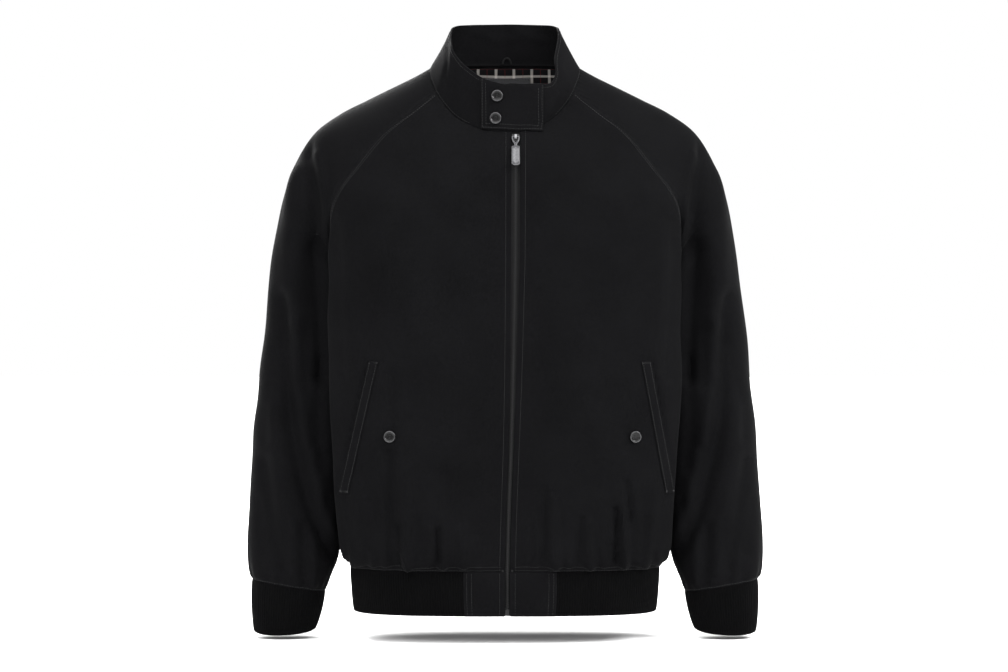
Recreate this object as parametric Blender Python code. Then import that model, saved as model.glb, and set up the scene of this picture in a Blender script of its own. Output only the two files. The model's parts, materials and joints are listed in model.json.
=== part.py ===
"""Black cotton jacket with raglan sleeves, a stand collar, a front zip and knitted ribs.

It is filled out as if worn, hollow, with every piece of cloth a thin wall. Tables are in millimetres,
z up and the front facing -y; the wearer's left is +x. The origin is at the middle of the neck opening,
level with the points where the neck seam crosses the shoulders.
"""

import math

import bmesh
import bpy
import numpy as np
from mathutils import Vector
from mathutils.bvhtree import BVHTree

MM = 0.001
CLOTH = 1.5  # wall of the body and sleeves
COLLAR_CLOTH = 2.4  # two plies and an interlining
RIB = 2.4  # knitted rib
GAP = 0.3  # between pieces that meet or lie on each other
WELT_PLY = 1.2

HEM_LEVEL = -702.0
SEAM_LEVEL = -646.0  # where the cloth is gathered into the waist rib
BAND_ROWS = ((0.5, 0.985), (1.0, 0.98))  # share of the way down the waistband, and how far it draws in
WAIST_PANEL_WIDTH = {-1: 52.0, 1: 59.0}  # plain end panels of the waistband
UNDERARM_ROW = 8  # the row of every table at which the raglan seams meet
UNDERARM_CLEAR = 0.5  # that the body's corner there moves in and the sleeve's out

BUTTON_WIDTH = 15.5
BUTTON_DEPTH = 3.0
# The throat tab's lower corners.
TAB_ENDS = {"x_right": -30.0, "x_left": 48.0, "z_right": -84.0, "z_left": -88.0}
TAB_PLY = 2.0
TAB_CLEAR = 0.5  # from the collar, because the tab bridges the seam under it
TAPE_NEAR = 3.1  # from the middle of the zip to a tape's inner edge
TAPE_FAR = 17.0
TAPE_PLY = 0.9
TAPE_ENDS = (1.0, 0.5)  # short of the neck seam and of the hem
CHAIN_WIDTH = 5.6
CHAIN_DEPTH = 2.4
PULL_LENGTH = 44.0
PULL_WIDTH = 10.2
PULL_DEPTH = 1.6
PULL_TILT = 2.0  # degrees that the tab hangs off the cloth
SLIDER_TOP = 5.0  # down the zip from the neck seam
SLIDER_LENGTH = 11.0
SLIDER_WIDTH = 9.0
SLIDER_NECK = 3.4  # between the slider's two plates
SLIDER_WALL = 0.9
BRIDGE_WIDTH = 3.0
PIN = (5.2, 1.85)  # from the slider's top: down the zip and out of the cloth
# Outlines of the slider's front plate, its bridge and the gap under the bridge, seen from the
# side: down and out.
SLIDER_PLATE = [(0, -1.2), (SLIDER_LENGTH, -1.2), (SLIDER_LENGTH, 0.2), (0.8, 0.2), (0, -0.6)]
BRIDGE = [(1.8, 0), (1.8, 2.4), (3.2, 4.0), (7.2, 4.0), (8.6, 2.4), (8.6, 0)]
BRIDGE_HOLE = [(3.3, 0.5), (3.3, 2.6), (3.9, 3.2), (6.5, 3.2), (7.1, 2.6), (7.1, 0.5)]
# Half of the pull tab's outline: its head as distance down and half width, its foot as distance
# up from the end and how much narrower than half the tab's width.
PULL_HEAD = [(-0.9, 4.4), (-0.5, 4.9), (3.0, 4.9), (7.5, 3.9), (10.6, 1.9), (14.2, 1.7),
             (15.2, PULL_WIDTH / 2)]
PULL_FOOT = [(1.8, 0.3), (0.6, 1.6), (0, 3.4)]
PULL_WINDOW = [(0.65, -3.5), (3.0, -3.5), (6.9, -2.6), (9.0, 0), (6.9, 2.6), (3.0, 3.5), (0.65, 3.5)]
BOX_LENGTH = 8.0
BOX_EXTRA = 0.4  # deeper than the chain, on each side

IN_FRONT = -400.0  # y of a place well before the jacket, from which its skin is looked for

# How much of the climb from the zip to the seam each column of a front or back row has made.
CLIMB = (0.0, 0.12, 0.45, 0.75, 0.9, 0.96, 1.0)

# One row per level: z at the middle and at the seam, then the section as y at the middle and
# x, y at each further point. "fold" is the edge that hangs in front of the sleeve.
FRONT_COLUMNS = "z_mid z_seam y_mid x_quarter y_quarter x_chest y_chest x_corner y_corner x_fold y_fold " \
    "x_tuck y_tuck x_seam y_seam"
FRONT = (
    (-88, -31, -80, 32, -77, 58, -66, 75, -54, 81, -49, 85, -45, 88, -42),
    (-107, -60, -90, 50, -87, 88, -77, 105, -69, 112, -65, 117, -62, 121, -60),
    (-127, -92, -98, 62, -97, 113, -90, 138, -82, 148, -78, 155, -75, 160, -72),
    (-148, -135, -104, 72, -105, 136, -98, 167, -89, 179, -84, 187, -80, 194, -76),
    (-170, -168, -108, 78, -110, 149, -104, 187, -93, 201, -86, 210, -80, 217, -72),
    (-191, -196, -111, 80, -113, 156, -107, 201, -92, 215, -82, 221, -73, 224, -62),
    (-211, -222, -112, 82, -114, 160, -109, 209, -91, 222, -75, 223, -58, 217, -42),
    (-231, -238, -113, 82, -115, 162, -109, 211, -90, 225, -68, 216, -46, 203, -18),
    (-250, -244, -113, 82, -115, 163, -110, 212, -90, 225.5, -66, 206, -42, 194, 7),
    (-290, -290, -114, 82, -116, 163, -110, 212, -90, 225.5, -66, 204, -43, 187.5, 8),
    (-340, -340, -114, 82, -116, 163, -110, 212, -90, 225.5, -66, 203, -43, 185, 9),
    (-450, -450, -114, 82, -116, 162, -110, 211, -90, 223.5, -66, 203, -43, 185, 9),
    (-505, -505, -114, 82, -116, 161, -109, 208, -89, 219.5, -66, 202, -42, 186, 9),
    (-555, -555, -113, 82, -115, 160, -108, 206, -87, 217, -64, 203, -39, 189, 8),
    (-595, -595, -112, 82, -113, 156, -106, 203, -83, 215, -60, 205, -35, 194, 8),
    (-623, -623, -110, 81, -111, 151, -102, 196, -79, 212, -54, 208, -26, 200, 7),
    (-638, -638, -107, 80, -107, 146, -97, 187, -75, 206, -47, 208, -18, 205, 7),
    (-646, -646, -103, 79, -101, 141, -89, 178, -68, 195, -41, 200, -16, 201, 7),
)

BACK_COLUMNS = "z_mid z_seam y_mid x_quarter y_quarter x_blade y_blade x_corner y_corner x_fold y_fold " \
    "x_tuck y_tuck x_seam y_seam"
BACK = (
    (10, 6, 62, 24, 60, 45, 55, 60, 50, 68, 45, 75, 41, 80, 37),
    (-18, -32, 78, 36, 78, 64, 75, 82, 72, 94, 68, 102, 65, 108, 62),
    (-52, -78, 91, 48, 92, 88, 89, 114, 84, 129, 80, 138, 78, 146, 75),
    (-92, -125, 98, 58, 100, 110, 97, 143, 91, 160, 86, 171, 83, 179, 80),
    (-132, -165, 102, 66, 104, 126, 100, 163, 92, 182, 84, 192, 79, 201, 73),
    (-168, -198, 103, 70, 105, 134, 102, 174, 93, 193, 83, 203, 73, 210, 61),
    (-200, -225, 103, 72, 105, 138, 102, 178, 94, 198, 83, 206, 64, 207, 45),
    (-226, -240, 103, 72, 105, 139, 102, 180, 95, 203, 83, 202, 59, 201, 27),
    (-250, -244, 103, 72, 105, 140, 101, 181, 95, 205, 84, 197, 54, 194, 7),
    (-290, -290, 102, 72, 104, 140, 101, 181, 94, 206, 84, 190, 58, 187.5, 8),
    (-340, -340, 101, 72, 103, 140, 100, 181, 93, 206, 84, 188, 58, 185, 9),
    (-450, -450, 98, 72, 100, 140, 97, 181, 91, 206, 82, 188, 57, 185, 9),
    (-505, -505, 97, 72, 99, 140, 96, 182, 90, 207, 80, 189, 55, 186, 9),
    (-555, -555, 97, 72, 99, 140, 96, 183, 89, 208, 78, 192, 50, 189, 8),
    (-595, -595, 96, 72, 98, 140, 94, 184, 86, 209, 72, 197, 43, 194, 8),
    (-623, -623, 95, 72, 96, 138, 91, 182, 80, 207, 62, 204, 37, 200, 7),
    (-638, -638, 93, 71, 93, 134, 87, 177, 72, 200, 53, 206, 31, 205, 7),
    (-646, -646, 90, 70, 89, 130, 81, 168, 65, 188, 46, 198, 27, 201, 7),
)

# The neck seam and the collar's top edge at nine stations from the front middle round to the back
# middle. Station 4 is the front raglan seam, 5 the side, 6 the back raglan seam. The left edge
# rolls lower over the front than the right one.
NECK_COLUMNS = "x_neck y_neck z_neck x_right y_right z_right x_left y_left z_left bulge_right bulge_left"
NECK = (
    (0, -80, -88, 0, -76, -28, 0, -76, -28, 0, 0),
    (32, -77, -84, 28, -73, -20, 33, -74, -27, 1, 1),
    (58, -67, -72, 52, -57, -2, 58, -64, -25, 2, 4),
    (76, -55, -54, 64, -40, 13, 66, -51, -10, 2, 5),
    (89, -42, -33, 69, -22, 28, 65, -32, 12, 2, 3),
    (98, -3, -2, 71, 10, 48, 71, 10, 48, 0, 0),
    (80, 37, 6, 63, 40, 57.5, 63, 40, 57.5, 0, 0),
    (45, 55, 9, 40, 55, 62.5, 40, 55, 62.5, 0, 0),
    (0, 62, 10, 0, 59, 63.5, 0, 59, 63.5, 0, 0),
)
STATION = {"front_middle": 0, "front_raglan": 4, "side": 5, "back_raglan": 6, "back_middle": 8}

# The sleeve above the underarm, one row per raglan row from 1: the outermost point, how far the
# curve runs level there to front and back, then the way it leaves each raglan seam (a length and
# a direction). "hug" is how far it follows on from the body's own surface instead.
CAP_COLUMNS = "x_top y_top z_top level_front level_back hug front_reach front_x front_y front_z " \
    "back_reach back_x back_y back_z"
CAP = (
    (137, 3, -21, 24, 22, 1, 24, 0, 0, 0, 22, 0, 0, 0),
    (178, 5, -41, 30, 28, 1, 30, 0, 0, 0, 28, 0, 0, 0),
    (214, 8, -59, 36, 34, 1, 36, 0, 0, 0, 34, 0, 0, 0),
    (245, 11, -81, 42, 40, 1, 42, 0.9, 0.1, 0.35, 40, 0.9, 0.1, 0.3),
    (265, 14, -108, 48, 48, 0.3, 42, 0.9, -0.2, 0.35, 44, 0.95, 0.1, 0.25),
    (280, 15, -140, 54, 54, 0, 56, 0.83, -0.5, 0.2, 56, 0.82, 0.55, 0.15),
    (290, 16, -173, 60, 60, 0, 75, 0.68, -0.72, 0.1, 74, 0.65, 0.75, 0.05),
    (297, 16, -206, 64, 64, 0, 85, 0.52, -0.85, 0, 84, 0.45, 0.89, 0),
)

# The sleeve below the underarm, as rings: z and x of the inner and outer sides, the middle's y and
# half the depth front to back.
RING_COLUMNS = "z_in z_out x_in x_out y_mid half_depth"
RINGS = (
    (-272, -240, 194.5, 303, 16, 59),
    (-310, -287, 193, 308, 15, 59),
    (-352, -335, 192.5, 313, 15, 58.5),
    (-397, -385, 193, 318, 14, 58),
    (-442, -434, 194.5, 322.5, 12, 57),
    (-487, -483, 197, 327.5, 9, 56),
    (-532, -531, 201, 331, 6, 55),
    (-575, -574, 206, 332.5, 2, 54),
    (-612, -610, 212, 334, -1, 52),
    (-640, -634, 218, 333.5, -3, 49),
    (-660, -650, 226, 331.5, -5, 45),
    (-678, -662, 233, 328, -6, 41),
)
RING_SQUARENESS = 2.3
CUFF_END = {"z_in": -724, "z_out": -727, "x_in": 244, "x_out": 326, "y_mid": -7, "half_depth": 36,
            "front_drop": 7}

# The middle of the zip and half the opening that shows it, from the neck seam down to the hem.
ZIP_COLUMNS = "z x half_opening"
ZIP = (
    (-88, 13.6, 6.0),
    (-250, 13.0, 5.8),
    (-400, 10.5, 4.4),
    (-500, 7.5, 3.5),
    (-575, 4.6, 3.4),
    (-646, 3.0, 3.4),
    (-702, 2.5, 3.4),
)

# Slanted pocket openings: x and z of the upper and lower ends on each side.
POCKET_COLUMNS = "side x_upper z_upper x_lower z_lower"
POCKETS = (
    (-1, 171, -380, 209, -547),
    (1, 183, -380, 214, -547),
)
WELT_WIDTH = 11.0
WELT_BACK = -68.0  # the welts lie in front of this y
BUTTON_COLUMNS = "name x z"
POCKET_BUTTONS = (
    ("pocket_button_right", -145, -475),
    ("pocket_button_left", 164, -475),
)
COLLAR_BUTTONS = (
    ("collar_button_top", -10.1, -43),
    ("collar_button_bottom", -12.0, -71.5),
)
# A button's profile: share of its radius and of its depth.
BUTTON_RINGS = ((0.0, 0.0), (0.80, 0.0), (1.0, 0.35), (1.0, 0.75), (0.86, 1.0), (0.68, 0.95),
                (0.58, 0.7), (0.0, 0.7))
BUTTON_SIDES = 16

# Columns across a front beyond its waist panel, and across half the back, counted in section points.
FRONT_MARKS = (1.25, 1.7, 2.2, 2.65, 3.0, 3.4, 3.75, 4.1, 4.5, 5.0, 5.5, 6.0)
BACK_MARKS = (0, 0.7, 1.4, 2.0, 2.6, 3.2, 3.7, 4.1, 4.5, 5.1, 6.0)
SLEEVE_SPLITS = 8  # across each half of a sleeve
COLLAR_SPLITS = 3  # up the collar
LINING_ROWS = 3  # rows of the back and sleeves that the neck lining covers
LINING_PLY = 0.6
LINING_TRIM = 4.0  # below the neck seam
CUT_SNAP = 0.2  # a cut that passes this near a point goes through it
LABEL = {"x_right": -31.0, "x_left": 33.0, "z_top": -6.6, "z_bottom": -38.0, "ply": 0.8}
LOOP = {"x": 2.5, "width": 11.0, "rise": 8.0, "thick": 1.0, "tape": 2.4, "off_seam": 1.2, "steps": 11}
DENSE = 161  # samples along every section

PAINT = {
    "cloth": ((0.011, 0.011, 0.012), 0.85, 0.0),
    "rib": ((0.007, 0.007, 0.007), 0.95, 0.0),
    "lining": ((0.05, 0.045, 0.045), 0.8, 0.0),
    "label": ((0.05, 0.052, 0.055), 0.7, 0.0),
    "button": ((0.012, 0.012, 0.013), 0.25, 0.0),
    "tape": ((0.01, 0.01, 0.011), 0.9, 0.0),
    "teeth": ((0.02, 0.02, 0.022), 0.35, 0.0),
    "metal": ((0.45, 0.45, 0.47), 0.3, 1.0),
}


def table(columns, rows):
    """Each row as a dictionary under the table's column names."""
    return [dict(zip(columns.split(), row)) for row in rows]


def unit(vectors):
    return vectors / np.maximum(np.linalg.norm(vectors, axis=-1, keepdims=True), 1e-9)


def knots(points):
    steps = np.linalg.norm(np.diff(points, axis=0), axis=-1)
    while steps.ndim > 1:
        steps = steps.mean(axis=-1)
    return np.concatenate([[0.0], np.cumsum(steps)])


def spline(points, at, places, first=None, last=None):
    """A smooth cubic through points at knots `at`, read at places. first and last are the points
    that it would go on to beyond its ends."""
    points = np.asarray(points, float)
    count = len(points)
    slopes = np.diff(points, axis=0) / np.diff(at).reshape((-1,) + (1,) * (points.ndim - 1))
    widths = np.diff(at)
    tangents = np.empty_like(points)
    tangents[0], tangents[-1] = slopes[0], slopes[-1]
    for i in range(1, count - 1):
        low, high = widths[i - 1], widths[i]
        tangents[i] = (slopes[i - 1] * high + slopes[i] * low) / (low + high)
    if first is not None:
        tangents[0] = (points[1] - first) / (at[1] - at[0] + np.linalg.norm(points[0] - first))
    if last is not None:
        tangents[-1] = (last - points[-2]) / (at[-1] - at[-2] + np.linalg.norm(points[-1] - last))
    found = []
    for place in places:
        i = int(np.clip(np.searchsorted(at, place) - 1, 0, count - 2))
        h = widths[i]
        t = (place - at[i]) / h
        found.append(
            (2 * t**3 - 3 * t**2 + 1) * points[i] + (t**3 - 2 * t**2 + t) * h * tangents[i]
            + (3 * t**2 - 2 * t**3) * points[i + 1] + (t**3 - t**2) * h * tangents[i + 1]
        )
    return np.array(found)


class Curve:
    """A finely sampled curve that is read by its length from the start."""

    def __init__(self, points):
        self.points = points
        self.lengths = knots(points)
        self.total = self.lengths[-1]
        self.marks = None

    def length_at(self, mark):
        """The length along the curve at a place counted in the section's own points."""
        return np.interp(mark, np.arange(len(self.marks)), self.marks)

    def at(self, lengths):
        return np.stack([np.interp(lengths, self.lengths, self.points[:, k]) for k in range(3)], -1)


def mirrored(points, side):
    return points * np.array([side, 1.0, 1.0])


# ---- the body's sections ----

def section_points(row, names):
    """The seven points of a front or back row, on the +x side."""
    heights = [row["z_mid"] + (row["z_seam"] - row["z_mid"]) * climb for climb in CLIMB]
    points = [(0.0, row["y_mid"], heights[0])]
    points += [(row["x_" + name], row["y_" + name], z) for name, z in zip(names, heights[1:])]
    return np.array(points, float)


def neck_curve(start, end, count=DENSE):
    """The neck seam between two stations, on the +x side."""
    rows = table(NECK_COLUMNS, NECK)
    stations = np.array([[row[axis + "_neck"] for axis in "xyz"] for row in rows], float)
    return Curve(spline(stations, np.arange(len(stations)), np.linspace(start, end, count),
                        first=mirrored(stations[1], -1), last=mirrored(stations[-2], -1)))


def body_curves(columns, rows, names, beyond):
    """One finely sampled curve per row, from the middle to the seam."""
    curves = []
    for index, row in enumerate(table(columns, rows)):
        points = section_points(row, names)
        at = knots(points)
        last = beyond[index] if index >= UNDERARM_ROW else None
        places = np.linspace(0, at[-1], DENSE)
        curve = Curve(spline(points, at, places, mirrored(points[1], -1), last))
        curve.marks = np.interp(at, places, curve.lengths)
        curves.append(curve)
    return curves


FRONT_NAMES = ("quarter", "chest", "corner", "fold", "tuck", "seam")
BACK_NAMES = ("quarter", "blade", "corner", "fold", "tuck", "seam")


def all_body_curves():
    front_sections = [section_points(row, FRONT_NAMES) for row in table(FRONT_COLUMNS, FRONT)]
    back_sections = [section_points(row, BACK_NAMES) for row in table(BACK_COLUMNS, BACK)]
    fronts = body_curves(FRONT_COLUMNS, FRONT, FRONT_NAMES, [points[-2] for points in back_sections])
    backs = body_curves(BACK_COLUMNS, BACK, BACK_NAMES, [points[-2] for points in front_sections])
    halves = ((fronts, "front_middle", "front_raglan"), (backs, "back_middle", "back_raglan"))
    for curves, start, end in halves:
        marks = curves[0].marks / curves[0].total
        curves[0] = neck_curve(STATION[start], STATION[end])
        curves[0].marks = marks * curves[0].total
    return fronts, backs


def zip_at(z):
    rows = table(ZIP_COLUMNS, ZIP)
    levels = [-row["z"] for row in rows]
    return (float(np.interp(-z, levels, [row["x"] for row in rows])),
            float(np.interp(-z, levels, [row["half_opening"] for row in rows])))


def read_across(curve, lengths, side):
    """Points at signed lengths from the middle: a negative length lies past it on the other side."""
    lengths = np.asarray(lengths, float)
    points = curve.at(np.abs(lengths))
    points[:, 0] *= np.where(lengths < 0, -1.0, 1.0)
    return mirrored(points, side)


def front_edge(curve, side):
    """The signed length at which a front's zip edge crosses."""
    middle, half = zip_at(curve.points[0, 2])
    return side * middle + half


def front_grid(curves, side):
    """A front's outer points. Column 2 is where the plain waist panel ends below it."""
    bottom = curves[-1]
    panel_mark = (front_edge(bottom, side) + WAIST_PANEL_WIDTH[side]) / bottom.marks[1]
    grid = []
    for curve in curves:
        start = front_edge(curve, side)
        panel = curve.length_at(panel_mark)
        rest = [curve.length_at(mark) for mark in FRONT_MARKS]
        grid.append(read_across(curve, [start, (start + panel) / 2, panel] + rest, side))
    return np.array(grid)


def back_grid(curves):
    halves = [curve.at([curve.length_at(mark) for mark in BACK_MARKS]) for curve in curves]
    return np.array([np.concatenate([mirrored(half[::-1], -1), half[1:]]) for half in halves])


# ---- the sleeve ----

def bezier(start, leave, arrive, end, count):
    t = np.linspace(0, 1, count)[:, None]
    return ((1 - t) ** 3 * start + 3 * t * (1 - t) ** 2 * leave + 3 * t**2 * (1 - t) * arrive + t**3 * end)


def seam_normal(grid, row):
    """The panel's outward normal at the end of a row, where its seam is."""
    along = grid[min(row + 1, len(grid) - 1), -1] - grid[max(row - 1, 0), -1]
    across = grid[row, -1] - grid[row, -2]
    return unit(np.cross(across, along))


def leaving(seam, target, normal, reach, hug, way):
    """The handle with which the sleeve leaves a raglan seam."""
    along = target - seam
    followed = unit(along - np.dot(along, normal) * normal)
    given = unit(np.array(way, float)) if any(way) else followed
    return seam + reach * unit(hug * followed + (1 - hug) * given)


def ring_curve(section):
    """Half rings, front and back, from the inner side to the outer one."""
    middle = (section["x_in"] + section["x_out"]) / 2
    half = (section["x_out"] - section["x_in"]) / 2
    halves = []
    for facing in (-1, 1):
        turn = np.linspace(0, math.pi, DENSE)
        cos = np.sign(np.cos(turn)) * np.abs(np.cos(turn)) ** (2 / RING_SQUARENESS)
        sin = np.abs(np.sin(turn)) ** (2 / RING_SQUARENESS)
        x = middle - half * cos
        share = (x - section["x_in"]) / (2 * half)
        z = section["z_in"] + (section["z_out"] - section["z_in"]) * share
        z = z + facing * sin * section.get("front_drop", 0.0)
        y = section["y_mid"] + facing * section["half_depth"] * sin
        halves.append(Curve(np.stack([x, y, z], -1)))
    return halves


def across_halves(front, back):
    """A sleeve row from the front seam over the outer side to the back seam."""
    shares = np.linspace(0, 1, SLEEVE_SPLITS + 1)
    ahead = front.at(shares * front.total)
    behind = back.at(shares * back.total)
    return np.concatenate([ahead, behind[::-1][1:]])


def sleeve_grid(front, back):
    """The left sleeve's outer points. Its first and last columns are the raglan seams, and one
    underarm seam from the underarm row on."""
    rows = [across_halves(neck_curve(STATION["front_raglan"], STATION["side"]),
                          neck_curve(STATION["back_raglan"], STATION["side"]))]
    for index, cap in enumerate(table(CAP_COLUMNS, CAP), start=1):
        top = np.array([cap["x_top"], cap["y_top"], cap["z_top"]], float)
        halves = []
        for name, grid, facing in (("front", front, -1), ("back", back, 1)):
            seam = grid[index, -1]
            arrive = top + np.array([0, facing * cap["level_" + name], 0])
            normal = seam_normal(grid, index)
            way = [cap[name + "_" + axis] for axis in "xyz"]
            leave = leaving(seam, arrive, normal, cap[name + "_reach"], cap["hug"], way)
            halves.append(Curve(bezier(seam, leave, arrive, top, DENSE)))
        rows.append(across_halves(*halves))
    for section in table(RING_COLUMNS, RINGS):
        rows.append(across_halves(*ring_curve(section)))
    return np.array(rows)


# ---- solids ----

def material(name):
    colour, roughness, metallic = PAINT[name]
    made = bpy.data.materials.new(name)
    made.use_nodes = True
    shader = made.node_tree.nodes["Principled BSDF"]
    shader.inputs["Base Color"].default_value = (*colour, 1.0)
    shader.inputs["Roughness"].default_value = roughness
    shader.inputs["Metallic"].default_value = metallic
    made.diffuse_color = (*colour, 1.0)
    return made


def add_solid(name, points, faces, paint, parent, smooth=True):
    mesh = bpy.data.meshes.new(name)
    mesh.from_pydata((np.asarray(points) * MM).tolist(), [], [list(map(int, face)) for face in faces])
    mesh.materials.append(bpy.data.materials[paint])
    if smooth:
        mesh.shade_smooth()
    obj = bpy.data.objects.new(name, mesh)
    bpy.context.collection.objects.link(obj)
    obj.parent = parent
    return obj


def grid_faces(rows, columns, joined_from=None, turned_from=None):
    """Triangles over a grid. From row joined_from on, the last column is the first one, and from
    column turned_from on, each square is split along its other diagonal."""
    def corner(row, column):
        if joined_from is not None and row >= joined_from and column == columns - 1:
            column = 0
        return row * columns + column
    faces = []
    for row in range(rows - 1):
        for column in range(columns - 1):
            a, b = corner(row, column), corner(row, column + 1)
            c, d = corner(row + 1, column + 1), corner(row + 1, column)
            if turned_from is not None and column >= turned_from:
                faces += [(a, d, b), (b, d, c)]
            else:
                faces += [(a, d, c), (a, c, b)]
    return faces


def grid_normals(points, faces):
    normals = np.zeros_like(points)
    for face in faces:
        a, b, c = points[list(face)]
        weight = np.cross(b - a, c - a)
        for index in face:
            normals[index] += weight
    return unit(normals)


def wall(points, faces, normals, thickness):
    """A closed wall: the outer skin, an inner one moved in along the normals, and the rims."""
    inner = points - normals * thickness
    count = len(points)
    edges = {}
    for face in faces:
        for start, end in zip(face, face[1:] + face[:1]):
            edges[(start, end)] = True
    solid = [tuple(face) for face in faces]
    solid += [tuple(index + count for index in face[::-1]) for face in faces]
    for start, end in edges:
        if (end, start) not in edges:
            solid += [(end, start, start + count), (end, start + count, end + count)]
    used = sorted({index for face in solid for index in face})
    place = {index: k for k, index in enumerate(used)}
    both = np.concatenate([points, inner])[used]
    return both, [tuple(place[index] for index in face) for face in solid]


def pulled(grid, sides, by=GAP / 2):
    """The grid with its named sides drawn back along the surface."""
    grid = grid.copy()
    steps = {"top": (np.s_[0], np.s_[1]), "bottom": (np.s_[-1], np.s_[-2]),
             "first": (np.s_[:, 0], np.s_[:, 1]), "last": (np.s_[:, -1], np.s_[:, -2])}
    for side in sides:
        edge, inside = steps[side]
        grid[edge] += by * unit(grid[inside] - grid[edge])
    return grid


def outward(grid, faces):
    return grid_normals(grid.reshape(-1, 3), faces).reshape(grid.shape)


def add_grid(name, grid, thickness, paint, parent, flip=False, joined_from=None, normals=None, lift=0.0,
             turned_from=None):
    """A wall on a grid, its outer skin moved out by lift."""
    faces = grid_faces(*grid.shape[:2], joined_from, turned_from)
    if flip:
        faces = [face[::-1] for face in faces]
    points = grid.reshape(-1, 3)
    normals = grid_normals(points, faces) if normals is None else normals.reshape(-1, 3)
    solid, solid_faces = wall(points + normals * lift, faces, normals, thickness)
    return add_solid(name, solid, solid_faces, paint, parent)


def patch(name, grid, cuts, thickness, paint, parent, flip=False, turned_from=None, clear=GAP):
    """A wall that lies on a grid's facets, cut to shape. Each cut is a point and the way off the patch."""
    mesh = bmesh.new()
    corners = [mesh.verts.new(point) for point in grid.reshape(-1, 3)]
    for face in grid_faces(*grid.shape[:2], turned_from=turned_from):
        mesh.faces.new([corners[index] for index in (face[::-1] if flip else face)])
    for place, away in cuts:
        everything = mesh.verts[:] + mesh.edges[:] + mesh.faces[:]
        bmesh.ops.bisect_plane(mesh, geom=everything, dist=CUT_SNAP, plane_co=place, plane_no=away,
                               clear_outer=True)
    bmesh.ops.triangulate(mesh, faces=mesh.faces[:])
    mesh.normal_update()
    mesh.verts.index_update()
    points = np.array([vert.co for vert in mesh.verts])
    normals = np.array([vert.normal for vert in mesh.verts])
    faces = [tuple(vert.index for vert in face.verts) for face in mesh.faces]
    mesh.free()
    solid, solid_faces = wall(points + normals * (clear + thickness), faces, normals, thickness)
    return add_solid(name, solid, solid_faces, paint, parent)


def line_cut(start, end, side):
    """A cut straight back through two x, z points; side 1 drops what is left of start to end."""
    (x0, z0), (x1, z1) = start, end
    return (x0, 0.0, z0), (side * (z0 - z1), 0.0, side * (x1 - x0))


def level_cut(axis, at, way):
    place, away = [0.0, 0.0, 0.0], [0.0, 0.0, 0.0]
    place["xyz".index(axis)] = at
    away["xyz".index(axis)] = way
    return place, away


def shared_seam(one, two):
    """One normal for both edges of a seam, where the two panels run on into each other."""
    mean = unit(one + two)
    alike = np.sum(one * two, axis=-1) > 0.6
    return np.where(alike[..., None], mean, one), np.where(alike[..., None], mean, two)


def build_body(parent):
    """Fronts, back and sleeves. It returns their grids and normals for what is sewn to them."""
    front_curves, back_curves = all_body_curves()
    back = back_grid(back_curves)
    fronts = {side: front_grid(front_curves, side) for side in (-1, 1)}
    left_sleeve = sleeve_grid(fronts[1], back)
    sleeves = {1: left_sleeve, -1: mirrored(left_sleeve, -1)}
    rows, columns = back.shape[:2]
    sleeve_rows, sleeve_columns = left_sleeve.shape[:2]

    # The back's grid runs from -x to +x, so its faces are turned to point out.
    back_faces = [face[::-1] for face in grid_faces(rows, columns)]
    back_normals = outward(back, back_faces)
    front_normals, sleeve_normals = {}, {}
    for side in (-1, 1):
        faces = grid_faces(*fronts[side].shape[:2])
        faces = faces if side == 1 else [face[::-1] for face in faces]
        front_normals[side] = outward(fronts[side], faces)
        faces = grid_faces(sleeve_rows, sleeve_columns, UNDERARM_ROW)
        faces = faces if side == 1 else [face[::-1] for face in faces]
        sleeve_normals[side] = outward(sleeves[side], faces)
        top = slice(0, UNDERARM_ROW)
        back_column = -1 if side == 1 else 0
        pairs = ((front_normals[side], -1, sleeve_normals[side], 0),
                 (back_normals, back_column, sleeve_normals[side], -1))
        for body, body_column, sleeve, sleeve_column in pairs:
            both = shared_seam(body[top, body_column], sleeve[top, sleeve_column])
            body[top, body_column], sleeve[top, sleeve_column] = both
        below = slice(UNDERARM_ROW + 1, None)
        both = shared_seam(front_normals[side][below, -1], back_normals[below, back_column])
        front_normals[side][below, -1], back_normals[below, back_column] = both

    for side, name in ((-1, "right"), (1, "left")):
        front = pulled(fronts[side], ("top", "bottom", "last"))
        front[UNDERARM_ROW, -1, 0] -= side * UNDERARM_CLEAR
        add_grid("front_" + name, front, CLOTH, "cloth", parent, flip=side == -1,
                 normals=front_normals[side])
        sleeve = pulled(sleeves[side], ("top", "bottom"))
        for column, inside in ((0, 1), (-1, -2)):
            seam = sleeve[:UNDERARM_ROW, column]
            seam += GAP * unit(sleeve[:UNDERARM_ROW, inside] - seam)
        sleeve[UNDERARM_ROW, 0, 0] += side * UNDERARM_CLEAR
        add_grid("sleeve_" + name, sleeve, CLOTH, "cloth", parent, flip=side == -1,
                 joined_from=UNDERARM_ROW, normals=sleeve_normals[side])
    seamed = pulled(back, ("top", "bottom", "first", "last"))
    for side, column in ((-1, 0), (1, -1)):
        seamed[UNDERARM_ROW, column, 0] -= side * UNDERARM_CLEAR
    add_grid("back", seamed, CLOTH, "cloth", parent, flip=True, normals=back_normals)
    return {"fronts": fronts, "back": back, "sleeves": sleeves, "back_normals": back_normals,
            "sleeve_normals": sleeve_normals}


# ---- collar ----

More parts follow.
